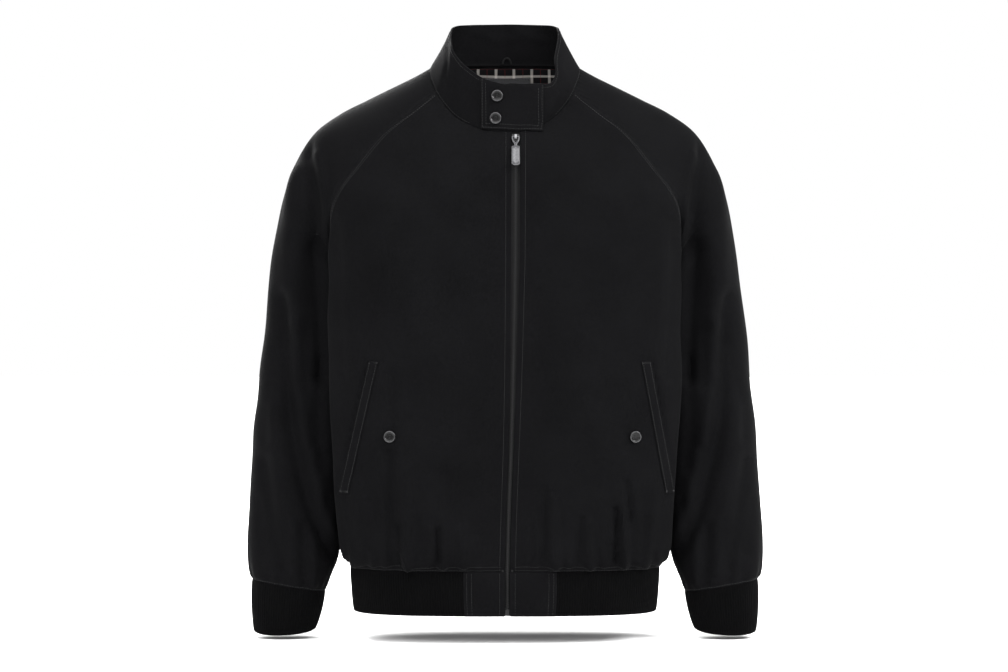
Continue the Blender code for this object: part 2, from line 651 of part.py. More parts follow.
def collar_stations(body):
    """Per side, the panels' points along the neck seam from the zip to the back and their stations."""
    dense = np.linspace(0, len(NECK) - 1, len(NECK) * DENSE)
    ring = neck_curve(0, len(NECK) - 1, len(dense)).points
    found = []
    for side in (-1, 1):
        middle = body["back"].shape[1] // 2
        back = body["back"][0][middle:] if side == 1 else body["back"][0][:middle + 1][::-1]
        run = np.concatenate([body["fronts"][side][0], body["sleeves"][side][0][1:], back[::-1][1:]])
        signs = np.where(run[:, 0] * side < -0.01, -1.0, 1.0)
        near = [np.argmin(np.linalg.norm(ring - (abs(x), y, z), axis=-1)) for x, y, z in run]
        found.append((side, run, signs * dense[near]))
    return found


def collar_top(side, stations):
    """The top edge and the outward bulge of the collar at stations of one side."""
    name = "left" if side == 1 else "right"
    rows = table(NECK_COLUMNS, NECK)
    columns = [axis + "_" + name for axis in "xyz"] + ["bulge_" + name]
    points = np.array([[row[column] for column in columns] for row in rows], float)
    flip = np.array([-1.0, 1.0, 1.0, 1.0])
    read = spline(points, np.arange(len(rows)), np.abs(stations), points[1] * flip, points[-2] * flip)
    read[:, 0] *= np.where(stations < 0, -1.0, 1.0) * side
    return read[:, :3], read[:, 3]


def collar_grid(body):
    bottoms, tops, bulges = [], [], []
    for side, run, stations in collar_stations(body):
        edge, bulge = collar_top(side, stations)
        order = slice(None) if side == -1 else slice(-2, None, -1)
        bottoms.append(run[order])
        tops.append(edge[order])
        bulges.append(bulge[order])
    bottom, top, bulge = np.concatenate(bottoms), np.concatenate(tops), np.concatenate(bulges)
    along = unit(np.gradient(bottom, axis=0))
    out = unit(np.cross(top - bottom, along))
    rows = []
    for share in np.linspace(1, 0, COLLAR_SPLITS + 1):
        rows.append(bottom + (top - bottom) * share + out * (bulge * math.sin(math.pi * share))[:, None])
    return np.array(rows)


def build_collar(body, parent):
    grid = collar_grid(body)
    add_grid("collar", pulled(grid, ("bottom",)), COLLAR_CLOTH, "cloth", parent, flip=True)
    return grid


def throat_skin(collar, body):
    """The outer skin of the collar and of the fronts' tops, as one grid across the throat."""
    count = body["fronts"][1].shape[1]
    right = np.concatenate([collar[:, :count], body["fronts"][-1][1:2]])
    left = np.concatenate([collar[:, -count:][:, ::-1], body["fronts"][1][1:2]])
    return np.concatenate([right[:, ::-1], left], axis=1)


def build_tab(throat, parent):
    """The throat tab, a ply that lies on the front of the collar and laps a little over the left front."""
    ends = TAB_ENDS
    cuts = [level_cut("x", ends["x_right"], -1), level_cut("x", ends["x_left"], 1),
            line_cut((ends["x_right"], ends["z_right"]), (ends["x_left"], ends["z_left"]), -1)]
    patch("collar_tab", throat, cuts, TAB_PLY, "cloth", parent, turned_from=0, clear=TAB_CLEAR)


# ---- waistband and cuffs ----

def build_waistband(body, parent):
    top_right = body["fronts"][-1][-1]
    top_left = body["fronts"][1][-1]
    back = body["back"][-1]

    def band(run):
        rows = [run]
        for share, draw_in in BAND_ROWS:
            row = run.copy()
            row[:, :2] *= draw_in
            row[:, 2] = SEAM_LEVEL + (HEM_LEVEL - SEAM_LEVEL) * share
            rows.append(row)
        return np.array(rows)

    for side, top, name in ((-1, top_right, "right"), (1, top_left, "left")):
        grid = band(top[:3])
        grid = pulled(grid, ("top", "last"))
        add_grid("waist_panel_" + name, grid, RIB, "cloth", parent, flip=side == -1)
    run = np.concatenate([top_right[2:], back[1:], top_left[2:][::-1][1:]])
    add_grid("waist_rib", pulled(band(run), ("top", "first", "last")), RIB, "rib", parent, flip=True)


def build_cuffs(body, parent):
    end = across_halves(*ring_curve(CUFF_END))
    for side, name in ((-1, "right"), (1, "left")):
        top = body["sleeves"][side][-1]
        bottom = mirrored(end, side)
        grid = np.array([top, top + (bottom - top) * 0.5, bottom])
        add_grid("cuff_" + name, pulled(grid, ("top",)), RIB, "rib", parent, flip=side == -1, joined_from=0)


# ---- small pieces on the fronts ----

def skin_tree(grid, turned_from=None):
    faces = grid_faces(*grid.shape[:2], turned_from=turned_from)
    return BVHTree.FromPolygons(grid.reshape(-1, 3).tolist(), faces)


def skin_point(tree, x, z):
    """The point of a skin straight behind x, z."""
    return np.array(tree.ray_cast(Vector((x, IN_FRONT, z)), Vector((0.0, 1.0, 0.0)))[0])


def seat(tree, x, z, radius):
    """Where a flat round piece sits on a skin: its middle, the normal and the way down."""
    across = skin_point(tree, x + radius, z) - skin_point(tree, x - radius, z)
    down = unit(skin_point(tree, x, z - radius) - skin_point(tree, x, z + radius))
    normal = unit(np.cross(down, across))
    middle = skin_point(tree, x, z)
    rim = [skin_point(tree, x + radius * math.cos(turn), z + radius * math.sin(turn))
           for turn in np.linspace(0, 2 * math.pi, BUTTON_SIDES, endpoint=False)]
    proud = max(0.0, max(float(np.dot(point - middle, normal)) for point in rim))
    return middle + normal * proud, normal, down


def build_button(name, tree, x, z, ply, parent):
    """A round button with a raised rim and a sunk middle, on a skin with a ply over it."""
    centre, normal, down = seat(tree, x, z, BUTTON_WIDTH / 2)
    centre = centre + normal * (ply + GAP)
    across = unit(np.cross(down, normal))
    points, starts = [], []
    for radius, height in BUTTON_RINGS:
        starts.append(len(points))
        for k in range(BUTTON_SIDES if radius else 1):
            turn = 2 * math.pi * k / BUTTON_SIDES
            out = across * math.cos(turn) + down * math.sin(turn)
            points.append(centre + out * radius * BUTTON_WIDTH / 2 + normal * height * BUTTON_DEPTH)
    faces = []
    for k in range(BUTTON_SIDES):
        after = (k + 1) % BUTTON_SIDES
        faces.append((starts[0], starts[1] + after, starts[1] + k))
        for ring in range(1, len(starts) - 2):
            a, b = starts[ring] + k, starts[ring] + after
            c, d = starts[ring + 1] + after, starts[ring + 1] + k
            faces += [(a, b, c), (a, c, d)]
        faces.append((starts[-2] + k, starts[-2] + after, starts[-1]))
    face_out(add_solid(name, points, faces, "button", parent))


def face_out(obj):
    """Recalculates the normals of a closed solid."""
    mesh = bmesh.new()
    mesh.from_mesh(obj.data)
    bmesh.ops.recalc_face_normals(mesh, faces=mesh.faces)
    mesh.to_mesh(obj.data)
    mesh.free()


def build_pockets(body, parent):
    for row in table(POCKET_COLUMNS, POCKETS):
        side = row["side"]
        upper, lower = (side * row["x_upper"], row["z_upper"]), (side * row["x_lower"], row["z_lower"])
        inner = [(x - side * WELT_WIDTH, z) for x, z in (upper, lower)]
        cuts = [line_cut(upper, lower, side), line_cut(*inner, -side), level_cut("z", row["z_upper"], 1),
                level_cut("z", row["z_lower"], -1), level_cut("y", WELT_BACK, 1)]
        name = "pocket_welt_" + ("left" if side == 1 else "right")
        patch(name, body["fronts"][side], cuts, WELT_PLY, "cloth", parent, flip=side == -1)
    for row in table(BUTTON_COLUMNS, POCKET_BUTTONS):
        front = body["fronts"][1 if row["x"] > 0 else -1]
        build_button(row["name"], skin_tree(front), row["x"], row["z"], 0.0, parent)


def build_collar_buttons(throat, parent):
    tree = skin_tree(throat, turned_from=0)
    for row in table(BUTTON_COLUMNS, COLLAR_BUTTONS):
        build_button(row["name"], tree, row["x"], row["z"], TAB_CLEAR + TAB_PLY, parent)


# ---- zip ----

def waist_line(seam):
    """The middle of the zip at the middle and the bottom of the waistband."""
    line = []
    for share, draw_in in BAND_ROWS:
        z = SEAM_LEVEL + (HEM_LEVEL - SEAM_LEVEL) * share
        line.append(np.array([zip_at(z)[0], seam[1] * draw_in, z]))
    return line


def zip_line(body):
    """Points down the middle of the zip on the outer skin, and the normals there."""
    middle = (body["fronts"][-1][:, 0] + body["fronts"][1][:, 0]) / 2
    points = np.concatenate([middle, waist_line(middle[-1])])
    return points, front_normals(np.gradient(points, axis=0))


def front_normals(down):
    """Normals to a line down the front, in its own upright plane."""
    return unit(np.cross(unit(down), np.array([1.0, 0.0, 0.0])))


def add_strip(name, points, normals, across, depths, paint, parent):
    """A bar that follows the zip: from and to, across from its middle and below the cloth's outer skin."""
    (left, right), (near, far) = across, depths
    corners = [(left, near), (right, near), (right, far), (left, far)]
    rows = [[point + np.array([x, 0, 0]) - normal * depth for x, depth in corners]
            for point, normal in zip(points, normals)]
    add_tube(name, np.array(rows), paint, parent)


def add_tube(name, rings, paint, parent, smooth=False):
    """A bar through rings of the same count of points, with flat ends."""
    count, sides = rings.shape[:2]
    faces = [tuple(range(sides)), tuple(sides * count - 1 - k for k in range(sides))]
    for k in range(count - 1):
        for c in range(sides):
            a, b = sides * k + c, sides * k + (c + 1) % sides
            faces += [(a, b + sides, b), (a, a + sides, b + sides)]
    face_out(add_solid(name, rings.reshape(-1, 3), faces, paint, parent, smooth))


def zip_point(points, place):
    at = knots(points)
    return np.array([np.interp(place, at, points[:, k]) for k in range(3)])


def cut_zip(points, start, end):
    """The stretch of the zip between two distances down it, with its normals."""
    at = knots(points)
    places = [start] + [place for place in at if start + 1 < place < end - 1] + [end]
    stretch = np.array([zip_point(points, place) for place in places])
    return stretch, front_normals(np.gradient(stretch, axis=0))


def plate(name, origin, along, out, outline, across_from, across_to, parent):
    """An outline in the plane of along and out, as a prism across x."""
    points = []
    for across in (across_from, across_to):
        points += [origin + along * x + out * y + np.array([across, 0, 0]) for x, y in outline]
    return prism(name, points, len(outline), parent)


def prism(name, points, count, parent):
    """A prism on the two outlines of `count` points that follow each other in points."""
    faces = [tuple(range(count)), tuple(range(2 * count - 1, count - 1, -1))]
    for k in range(count):
        after = (k + 1) % count
        faces.append((k, k + count, after + count, after))
    made = add_solid(name, points, faces, "metal", parent, smooth=False)
    face_out(made)
    return made


def boolean(target, tool, operation):
    cut = target.modifiers.new(operation.title() + "_" + tool.name, "BOOLEAN")
    cut.operation = operation
    cut.object = tool
    cut.solver = "EXACT"
    tool.hide_render = True
    tool.display_type = "WIRE"


def build_zip(body, jacket, pull_frame):
    points, normals = zip_line(body)
    total = knots(points)[-1]
    tape_points, tape_normals = cut_zip(points, TAPE_ENDS[0], total - TAPE_ENDS[1])
    depth = RIB + GAP  # the waist panels are thicker than the cloth, and the tapes lie behind both
    for side, name in ((-1, "right"), (1, "left")):
        across = (side * TAPE_NEAR, side * TAPE_FAR)
        depths = (depth, depth + TAPE_PLY)
        add_strip("zip_tape_" + name, tape_points, tape_normals, across, depths, "tape", jacket)
    half = CHAIN_WIDTH / 2
    stretch = cut_zip(points, SLIDER_TOP + SLIDER_LENGTH + GAP, total - BOX_LENGTH - GAP)
    add_strip("zip_chain", *stretch, (-half, half), (CLOTH, CLOTH + CHAIN_DEPTH), "teeth", jacket)
    stretch = cut_zip(points, total - BOX_LENGTH, total - GAP)
    depths = (CLOTH - BOX_EXTRA, CLOTH + CHAIN_DEPTH + BOX_EXTRA)
    add_strip("zip_box", *stretch, (-half, half), depths, "metal", jacket)
    build_slider(points, jacket, pull_frame)


def build_slider(points, jacket, pull_frame):
    """The slider, its two plates joined by a neck and bridged in front, and the pull tab on its bridge."""
    origin = zip_point(points, SLIDER_TOP)
    down = unit(zip_point(points, SLIDER_TOP + SLIDER_LENGTH) - origin)
    normal = front_normals(down)
    front, rear = -SLIDER_WALL, -(RIB + 2 * GAP + TAPE_PLY) - SLIDER_WALL
    end = SLIDER_LENGTH - 1
    shapes = (
        ("zip_slider", SLIDER_WIDTH, SLIDER_PLATE),
        ("slider_core", SLIDER_NECK, [(0.5, rear), (end, rear), (end, front), (0.5, front)]),
        ("slider_bridge", BRIDGE_WIDTH, BRIDGE),
        ("slider_hole", 4 * BRIDGE_WIDTH, BRIDGE_HOLE),
    )
    made = {}
    for name, width, outline in shapes:
        made[name] = plate(name, origin, down, normal, outline, -width / 2, width / 2, jacket)
    boolean(made["zip_slider"], made["slider_core"], "UNION")
    boolean(made["zip_slider"], made["slider_bridge"], "UNION")
    boolean(made["zip_slider"], made["slider_hole"], "DIFFERENCE")

    pin = origin + down * PIN[0] + normal * PIN[1]
    pull_frame.location = pin * MM
    tilt = math.radians(PULL_TILT)
    hang = down * math.cos(tilt) + normal * math.sin(tilt)
    face = front_normals(hang)
    right = PULL_HEAD + [(PULL_LENGTH - up, PULL_WIDTH / 2 - short) for up, short in PULL_FOOT]
    outline = right + [(along, -across) for along, across in right[::-1]]
    pull = flat_piece("zip_pull", outline, PULL_DEPTH, hang, face, pull_frame)
    window = flat_piece("pull_window", PULL_WINDOW, 3 * PULL_DEPTH, hang, face, pull_frame)
    boolean(pull, window, "DIFFERENCE")


def flat_piece(name, outline, depth, hang, face, parent):
    """A flat piece about its parent's origin, its outline given down hang and across x."""
    points = []
    for out in (-depth / 2, depth / 2):
        points += [hang * along + face * out + np.array([across, 0, 0]) for along, across in outline]
    return prism(name, points, len(outline), parent)


# ---- inside the neck ----

def build_lining(body, parent):
    """A lining inside the back of the neck, from shoulder to shoulder. It returns its inner skin."""
    half = SLEEVE_SPLITS
    rows, normals = [], []
    for r in range(LINING_ROWS):
        right, left = body["sleeves"][-1][r, half:], body["sleeves"][1][r, half:]
        rows.append(np.concatenate([right[:-1], body["back"][r], left[::-1][1:]]))
        right, left = body["sleeve_normals"][-1][r, half:], body["sleeve_normals"][1][r, half:]
        normals.append(np.concatenate([right[:-1], body["back_normals"][r], left[::-1][1:]]))
    grid, normals = pulled(np.array(rows), ("top",), by=LINING_TRIM), unit(np.array(normals))
    add_grid("back_lining", grid, LINING_PLY, "lining", parent, flip=True, normals=normals,
             lift=-(CLOTH + GAP), turned_from=grid.shape[1] - 1 - half)
    return grid - normals * (CLOTH + GAP + LINING_PLY)


def build_label(lining, parent):
    """A blank tab that lies on the middle of the lining."""
    middle, half = lining.shape[1] // 2, BACK_MARKS.index(2.0)
    skin = lining[:, middle - half:middle + half + 1]
    cuts = [level_cut("x", LABEL["x_right"], -1), level_cut("x", LABEL["x_left"], 1),
            level_cut("z", LABEL["z_top"], 1), level_cut("z", LABEL["z_bottom"], -1)]
    patch("neck_label", skin, cuts, LABEL["ply"], "label", parent)


def build_loop(collar, parent):
    """A small loop that stands on the neck seam against the inside of the collar."""
    middle = int(np.argmax(collar[-1, :, 1]))
    foot, head = collar[-1, middle], collar[0, middle]
    up = unit(head - foot)
    inward = unit(np.cross(np.array([1.0, 0.0, 0.0]), up))
    centre = np.array([LOOP["x"], foot[1], foot[2]]) + up * LOOP["off_seam"]
    centre += inward * (COLLAR_CLOTH + 4 * GAP)
    thick = inward * LOOP["thick"]
    rings = []
    for turn in np.linspace(0, math.pi, LOOP["steps"]):
        out = np.array([math.cos(turn), 0, 0]) * LOOP["width"] / 2 + up * math.sin(turn) * LOOP["rise"]
        tape = unit(out) * LOOP["tape"] / 2
        rings.append([centre + out + step for step in (-tape, tape, tape + thick, thick - tape)])
    add_tube("hanger_loop", np.array(rings), "cloth", parent, smooth=True)


def main():
    for obj in list(bpy.data.objects):
        bpy.data.objects.remove(obj, do_unlink=True)
    for name in PAINT:
        material(name)
    jacket = bpy.data.objects.new("jacket_frame", None)
    pull_frame = bpy.data.objects.new("zip_pull_frame", None)
    for empty in (jacket, pull_frame):
        bpy.context.collection.objects.link(empty)
    body = build_body(jacket)
    collar = build_collar(body, jacket)
    throat = throat_skin(collar, body)
    build_tab(throat, jacket)
    build_waistband(body, jacket)
    build_cuffs(body, jacket)
    build_pockets(body, jacket)
    build_collar_buttons(throat, jacket)
    build_zip(body, jacket, pull_frame)
    build_label(build_lining(body, jacket), jacket)
    build_loop(collar, jacket)


main()
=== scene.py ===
import json
import math

import bmesh
import bpy
import numpy as np
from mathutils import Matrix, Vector
from mathutils.bvhtree import BVHTree


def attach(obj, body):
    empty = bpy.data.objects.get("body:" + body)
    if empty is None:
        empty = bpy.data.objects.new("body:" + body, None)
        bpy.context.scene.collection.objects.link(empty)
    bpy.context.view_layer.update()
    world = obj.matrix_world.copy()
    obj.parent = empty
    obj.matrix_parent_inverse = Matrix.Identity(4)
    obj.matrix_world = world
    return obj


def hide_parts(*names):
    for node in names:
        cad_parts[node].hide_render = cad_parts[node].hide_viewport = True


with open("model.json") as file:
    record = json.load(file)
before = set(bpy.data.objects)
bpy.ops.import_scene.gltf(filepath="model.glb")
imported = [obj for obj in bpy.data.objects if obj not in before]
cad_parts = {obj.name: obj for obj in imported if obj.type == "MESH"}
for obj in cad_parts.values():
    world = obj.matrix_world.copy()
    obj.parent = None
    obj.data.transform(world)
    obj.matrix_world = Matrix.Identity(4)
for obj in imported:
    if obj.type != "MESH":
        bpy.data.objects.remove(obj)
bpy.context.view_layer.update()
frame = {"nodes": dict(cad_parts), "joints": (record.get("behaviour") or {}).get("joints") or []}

# Black cotton jacket, filled out as if worn. Tables are in millimetres: z up, the front facing -y,
# the wearer's left at +x, and the origin in the neck opening.
mm = 0.001
seamClear = 0.1  # from a seam's middle to the edge of each panel
underarmRow = 8  # table row at which the raglan seams meet
hemLevel = -702.0
waistLevel = -646.0
bandRows = ((0.5, 0.985), (1.0, 0.98))  # share of the way down the waistband, and how far it draws in
climbShares = (0.0, 0.12, 0.45, 0.75, 0.9, 0.96, 1.0)  # how far each column has climbed to the seam
denseCount = 241
farAway = 1e3
seamReach = 14  # columns over which a grid bends towards a seam

# One row per level: z at the middle and at the seam, then the section as y at the middle and
# x, y at each further point. "fold" is the edge that hangs in front of the sleeve.
frontColumns = "z_mid z_seam y_mid x_quarter y_quarter x_chest y_chest x_corner y_corner x_fold y_fold " \
    "x_tuck y_tuck x_seam y_seam"
frontRows = (
    (-88, -31, -80, 32, -77, 58, -66, 75, -54, 81, -49, 85, -45, 88, -42),
    (-107, -60, -90, 50, -87, 88, -77, 105, -69, 112, -65, 117, -62, 121, -60),
    (-127, -92, -98, 62, -97, 113, -90, 138, -82, 148, -78, 155, -75, 160, -72),
    (-148, -135, -104, 72, -105, 136, -98, 167, -89, 179, -84, 187, -80, 194, -76),
    (-170, -168, -108, 78, -110, 149, -104, 187, -93, 201, -86, 210, -80, 217, -72),
    (-191, -196, -111, 80, -113, 156, -107, 201, -92, 215, -82, 221, -73, 224, -62),
    (-211, -222, -112, 82, -114, 160, -109, 209, -91, 222, -75, 223, -58, 217, -42),
    (-231, -238, -113, 82, -115, 162, -109, 211, -90, 225, -68, 216, -46, 203, -18),
    (-250, -244, -113, 82, -115, 163, -110, 212, -90, 225.5, -66, 206, -42, 194, 7),
    (-290, -290, -114, 82, -116, 163, -110, 212, -90, 225.5, -66, 204, -43, 187.5, 8),
    (-340, -340, -114, 82, -116, 163, -110, 212, -90, 225.5, -66, 203, -43, 185, 9),
    (-450, -450, -114, 82, -116, 162, -110, 211, -90, 223.5, -66, 203, -43, 185, 9),
    (-505, -505, -114, 82, -116, 161, -109, 208, -89, 219.5, -66, 202, -42, 186, 9),
    (-555, -555, -113, 82, -115, 160, -108, 206, -87, 217, -64, 203, -39, 189, 8),
    (-595, -595, -112, 82, -113, 156, -106, 203, -83, 215, -60, 205, -35, 194, 8),
    (-623, -623, -110, 81, -111, 151, -102, 196, -79, 212, -54, 208, -26, 200, 7),
    (-638, -638, -107, 80, -107, 146, -97, 187, -75, 206, -47, 208, -18, 205, 7),
    (-646, -646, -103, 79, -101, 141, -89, 178, -68, 195, -41, 200, -16, 201, 7),
)

backColumns = "z_mid z_seam y_mid x_quarter y_quarter x_blade y_blade x_corner y_corner x_fold y_fold " \
    "x_tuck y_tuck x_seam y_seam"
backRows = (
    (10, 6, 62, 24, 60, 45, 55, 60, 50, 68, 45, 75, 41, 80, 37),
    (-18, -32, 78, 36, 78, 64, 75, 82, 72, 94, 68, 102, 65, 108, 62),
    (-52, -78, 91, 48, 92, 88, 89, 114, 84, 129, 80, 138, 78, 146, 75),
    (-92, -125, 98, 58, 100, 110, 97, 143, 91, 160, 86, 171, 83, 179, 80),
    (-132, -165, 102, 66, 104, 126, 100, 163, 92, 182, 84, 192, 79, 201, 73),
    (-168, -198, 103, 70, 105, 134, 102, 174, 93, 193, 83, 203, 73, 210, 61),
    (-200, -225, 103, 72, 105, 138, 102, 178, 94, 198, 83, 206, 64, 207, 45),
    (-226, -240, 103, 72, 105, 139, 102, 180, 95, 203, 83, 202, 59, 201, 27),
    (-250, -244, 103, 72, 105, 140, 101, 181, 95, 205, 84, 197, 54, 194, 7),
    (-290, -290, 102, 72, 104, 140, 101, 181, 94, 206, 84, 190, 58, 187.5, 8),
    (-340, -340, 101, 72, 103, 140, 100, 181, 93, 206, 84, 188, 58, 185, 9),
    (-450, -450, 98, 72, 100, 140, 97, 181, 91, 206, 82, 188, 57, 185, 9),
    (-505, -505, 97, 72, 99, 140, 96, 182, 90, 207, 80, 189, 55, 186, 9),
    (-555, -555, 97, 72, 99, 140, 96, 183, 89, 208, 78, 192, 50, 189, 8),
    (-595, -595, 96, 72, 98, 140, 94, 184, 86, 209, 72, 197, 43, 194, 8),
    (-623, -623, 95, 72, 96, 138, 91, 182, 80, 207, 62, 204, 37, 200, 7),
    (-638, -638, 93, 71, 93, 134, 87, 177, 72, 200, 53, 206, 31, 205, 7),
    (-646, -646, 90, 70, 89, 130, 81, 168, 65, 188, 46, 198, 27, 201, 7),
)

# The neck seam and the collar's top edge at nine stations from the front middle round to the back
# middle. Station 4 is the front raglan seam, 5 the side, 6 the back raglan seam. The left edge
# rolls lower over the front than the right one.
neckColumns = "x_neck y_neck z_neck x_right y_right z_right x_left y_left z_left bulge_right bulge_left"
neckRows = (
    (0, -80, -88, 0, -76, -28, 0, -76, -28, 0, 0),
    (32, -77, -84, 28, -73, -20, 33, -74, -27, 1, 1),
    (58, -67, -72, 52, -57, -2, 58, -64, -25, 2, 4),
    (76, -55, -54, 64, -40, 13, 66, -51, -10, 2, 5),
    (89, -42, -33, 69, -22, 28, 65, -32, 12, 2, 3),
    (98, -3, -2, 71, 10, 48, 71, 10, 48, 0, 0),
    (80, 37, 6, 66, 38, 58.5, 66, 38, 58.5, 0, 0),
    (45, 55, 9, 42, 55, 61.8, 42, 55, 61.8, 0, 0),
    (0, 62, 10, 0, 59, 63, 0, 59, 63, 0, 0),
)
station = {"front_middle": 0, "front_raglan": 4, "side": 5, "back_raglan": 6, "back_middle": 8}

# The sleeve above the underarm, one row per raglan row from 1: the outermost point, how far the
# curve runs level there to front and back, then the way it leaves each raglan seam (a length and
# a direction). "hug" is how far it follows on from the body's own surface instead.
capColumns = "x_top y_top z_top level_front level_back hug front_reach front_x front_y front_z " \
    "back_reach back_x back_y back_z"
capRows = (
    (137, 3, -21, 24, 22, 1, 24, 0, 0, 0, 22, 0, 0, 0),
    (178, 5, -41, 30, 28, 1, 30, 0, 0, 0, 28, 0, 0, 0),
    (214, 8, -59, 36, 34, 1, 36, 0, 0, 0, 34, 0, 0, 0),
    (245, 11, -81, 42, 40, 1, 42, 0.9, 0.1, 0.35, 40, 0.9, 0.1, 0.3),
    (265, 14, -108, 48, 48, 0.3, 42, 0.9, -0.2, 0.35, 44, 0.95, 0.1, 0.25),
    (280, 15, -140, 54, 54, 0, 56, 0.83, -0.5, 0.2, 56, 0.82, 0.55, 0.15),
    (290, 16, -173, 60, 60, 0, 75, 0.68, -0.72, 0.1, 74, 0.65, 0.75, 0.05),
    (297, 16, -206, 64, 64, 0, 85, 0.52, -0.85, 0, 84, 0.45, 0.89, 0),
)

# The sleeve below the underarm, as rings: z and x of the inner and outer sides, the middle's y and
# half the depth front to back.
ringColumns = "z_in z_out x_in x_out y_mid half_depth"
ringRows = (
    (-272, -240, 194.5, 303, 16, 59),
    (-310, -287, 193, 308, 15, 59),
    (-352, -335, 192.5, 313, 15, 58.5),
    (-397, -385, 193, 318, 14, 58),
    (-442, -434, 194.5, 322.5, 12, 57),
    (-487, -483, 197, 327.5, 9, 56),
    (-532, -531, 201, 331, 6, 55),
    (-575, -574, 206, 332.5, 2, 54),
    (-612, -610, 212, 334, -1, 52),
    (-640, -634, 218, 333.5, -3, 49),
    (-660, -650, 226, 331.5, -5, 45),
    (-678, -662, 233, 328, -6, 41),
)
ringSquareness = 2.3
cuffEnd = {"z_in": -724, "z_out": -727, "x_in": 244, "x_out": 326, "y_mid": -7, "half_depth": 36,
            "front_drop": 7}

# The middle of the zip and half the opening that shows it, from the neck seam down to the hem.
zipColumns = "z x half_opening"
zipRows = (
    (-88, 13.6, 6.0),
    (-250, 13.0, 5.8),
    (-400, 10.5, 4.4),
    (-500, 7.5, 3.5),
    (-575, 4.6, 3.4),
    (-646, 3.0, 3.4),
    (-702, 2.5, 3.4),
)

# Slanted pocket openings: x and z of the upper and lower ends on each side.
pocketColumns = "side x_upper z_upper x_lower z_lower"
pocketRows = (
    (-1, 171, -380, 209, -547),
    (1, 183, -380, 214, -547),
)
buttonColumns = "name x z"
pocketButtons = (
    ("pocket_button_right", -145, -475),
    ("pocket_button_left", 164, -475),
)
collarButtons = (
    ("collar_button_top", -10.1, -43),
    ("collar_button_bottom", -12.0, -71.5),
)


def asTable(columns, rows):
    return [dict(zip(columns.split(), row)) for row in rows]


def unit(vectors):
    return vectors / np.maximum(np.linalg.norm(vectors, axis=-1, keepdims=True), 1e-9)


def knotsOf(points):
    steps = np.linalg.norm(np.diff(points, axis=0), axis=-1)
    while steps.ndim > 1:
        steps = steps.mean(axis=-1)
    return np.concatenate([[0.0], np.cumsum(steps)])


def spline(points, at, places, first=None, last=None):
    # a smooth curve through points, read at places, with the points beyond its ends where they are known
    points = np.asarray(points, float)
    count = len(points)
    widths = np.diff(at)
    slopes = np.diff(points, axis=0) / widths.reshape((-1,) + (1,) * (points.ndim - 1))
    tangents = np.empty_like(points)
    tangents[0], tangents[-1] = slopes[0], slopes[-1]
    for i in range(1, count - 1):
        low, high = widths[i - 1], widths[i]
        tangents[i] = (slopes[i - 1] * high + slopes[i] * low) / (low + high)
    if first is not None:
        tangents[0] = (points[1] - first) / (at[1] - at[0] + np.linalg.norm(points[0] - first))
    if last is not None:
        tangents[-1] = (last - points[-2]) / (at[-1] - at[-2] + np.linalg.norm(points[-1] - last))
    found = []
    for place in places:
        i = int(np.clip(np.searchsorted(at, place) - 1, 0, count - 2))
        h = widths[i]
        t = (place - at[i]) / h
        found.append((2 * t**3 - 3 * t**2 + 1) * points[i] + (t**3 - 2 * t**2 + t) * h * tangents[i]
                     + (3 * t**2 - 2 * t**3) * points[i + 1] + (t**3 - t**2) * h * tangents[i + 1])
    return np.array(found)


def makeCurve(points, marks=None):
    lengths = knotsOf(points)
    return {"points": points, "lengths": lengths, "total": lengths[-1], "marks": marks}


def readCurve(curve, lengths):
    return np.stack([np.interp(lengths, curve["lengths"], curve["points"][:, k]) for k in range(3)], -1)


def markLength(curve, mark):
    return np.interp(mark, np.arange(len(curve["marks"])), curve["marks"])


def mirrored(points, side):
    return points * np.array([side, 1.0, 1.0])


def smoothStep(low, high, value):
    t = np.clip((value - low) / (high - low), 0.0, 1.0)
    return t * t * (3 - 2 * t)


# the body's sections, the same as the CAD's
def sectionPoints(row, names):
    heights = [row["z_mid"] + (row["z_seam"] - row["z_mid"]) * climb for climb in climbShares]
    points = [(0.0, row["y_mid"], heights[0])]
    points += [(row["x_" + name], row["y_" + name], z) for name, z in zip(names, heights[1:])]
    return np.array(points, float)


def neckCurve(start, end, count=denseCount):
    stations = np.array([[row[axis + "_neck"] for axis in "xyz"] for row in asTable(neckColumns, neckRows)],
                        float)
    return makeCurve(spline(stations, np.arange(len(stations)), np.linspace(start, end, count),
                            first=mirrored(stations[1], -1), last=mirrored(stations[-2], -1)))


frontNames = ("quarter", "chest", "corner", "fold", "tuck", "seam")
backNames = ("quarter", "blade", "corner", "fold", "tuck", "seam")


def bodyCurves(columns, rows, names, beyond):
    curves = []
    for index, row in enumerate(asTable(columns, rows)):
        points = sectionPoints(row, names)
        at = knotsOf(points)
        last = beyond[index] if index >= underarmRow else None
        places = np.linspace(0, at[-1], denseCount)
        curve = makeCurve(spline(points, at, places, mirrored(points[1], -1), last))
        curve["marks"] = np.interp(at, places, curve["lengths"])
        curves.append(curve)
    return curves


def allBodyCurves():
    frontSections = [sectionPoints(row, frontNames) for row in asTable(frontColumns, frontRows)]
    backSections = [sectionPoints(row, backNames) for row in asTable(backColumns, backRows)]
    fronts = bodyCurves(frontColumns, frontRows, frontNames, [points[-2] for points in backSections])
    backs = bodyCurves(backColumns, backRows, backNames, [points[-2] for points in frontSections])
    for curves, start, end in ((fronts, "front_middle", "front_raglan"),
                               (backs, "back_middle", "back_raglan")):
        marks = curves[0]["marks"] / curves[0]["total"]
        curves[0] = neckCurve(station[start], station[end])
        curves[0]["marks"] = marks * curves[0]["total"]
    return fronts, backs


def zipAt(z):
    rows = asTable(zipColumns, zipRows)
    levels = [-row["z"] for row in rows]
    return [float(np.interp(-z, levels, [row[name] for row in rows])) for name in ("x", "half_opening")]


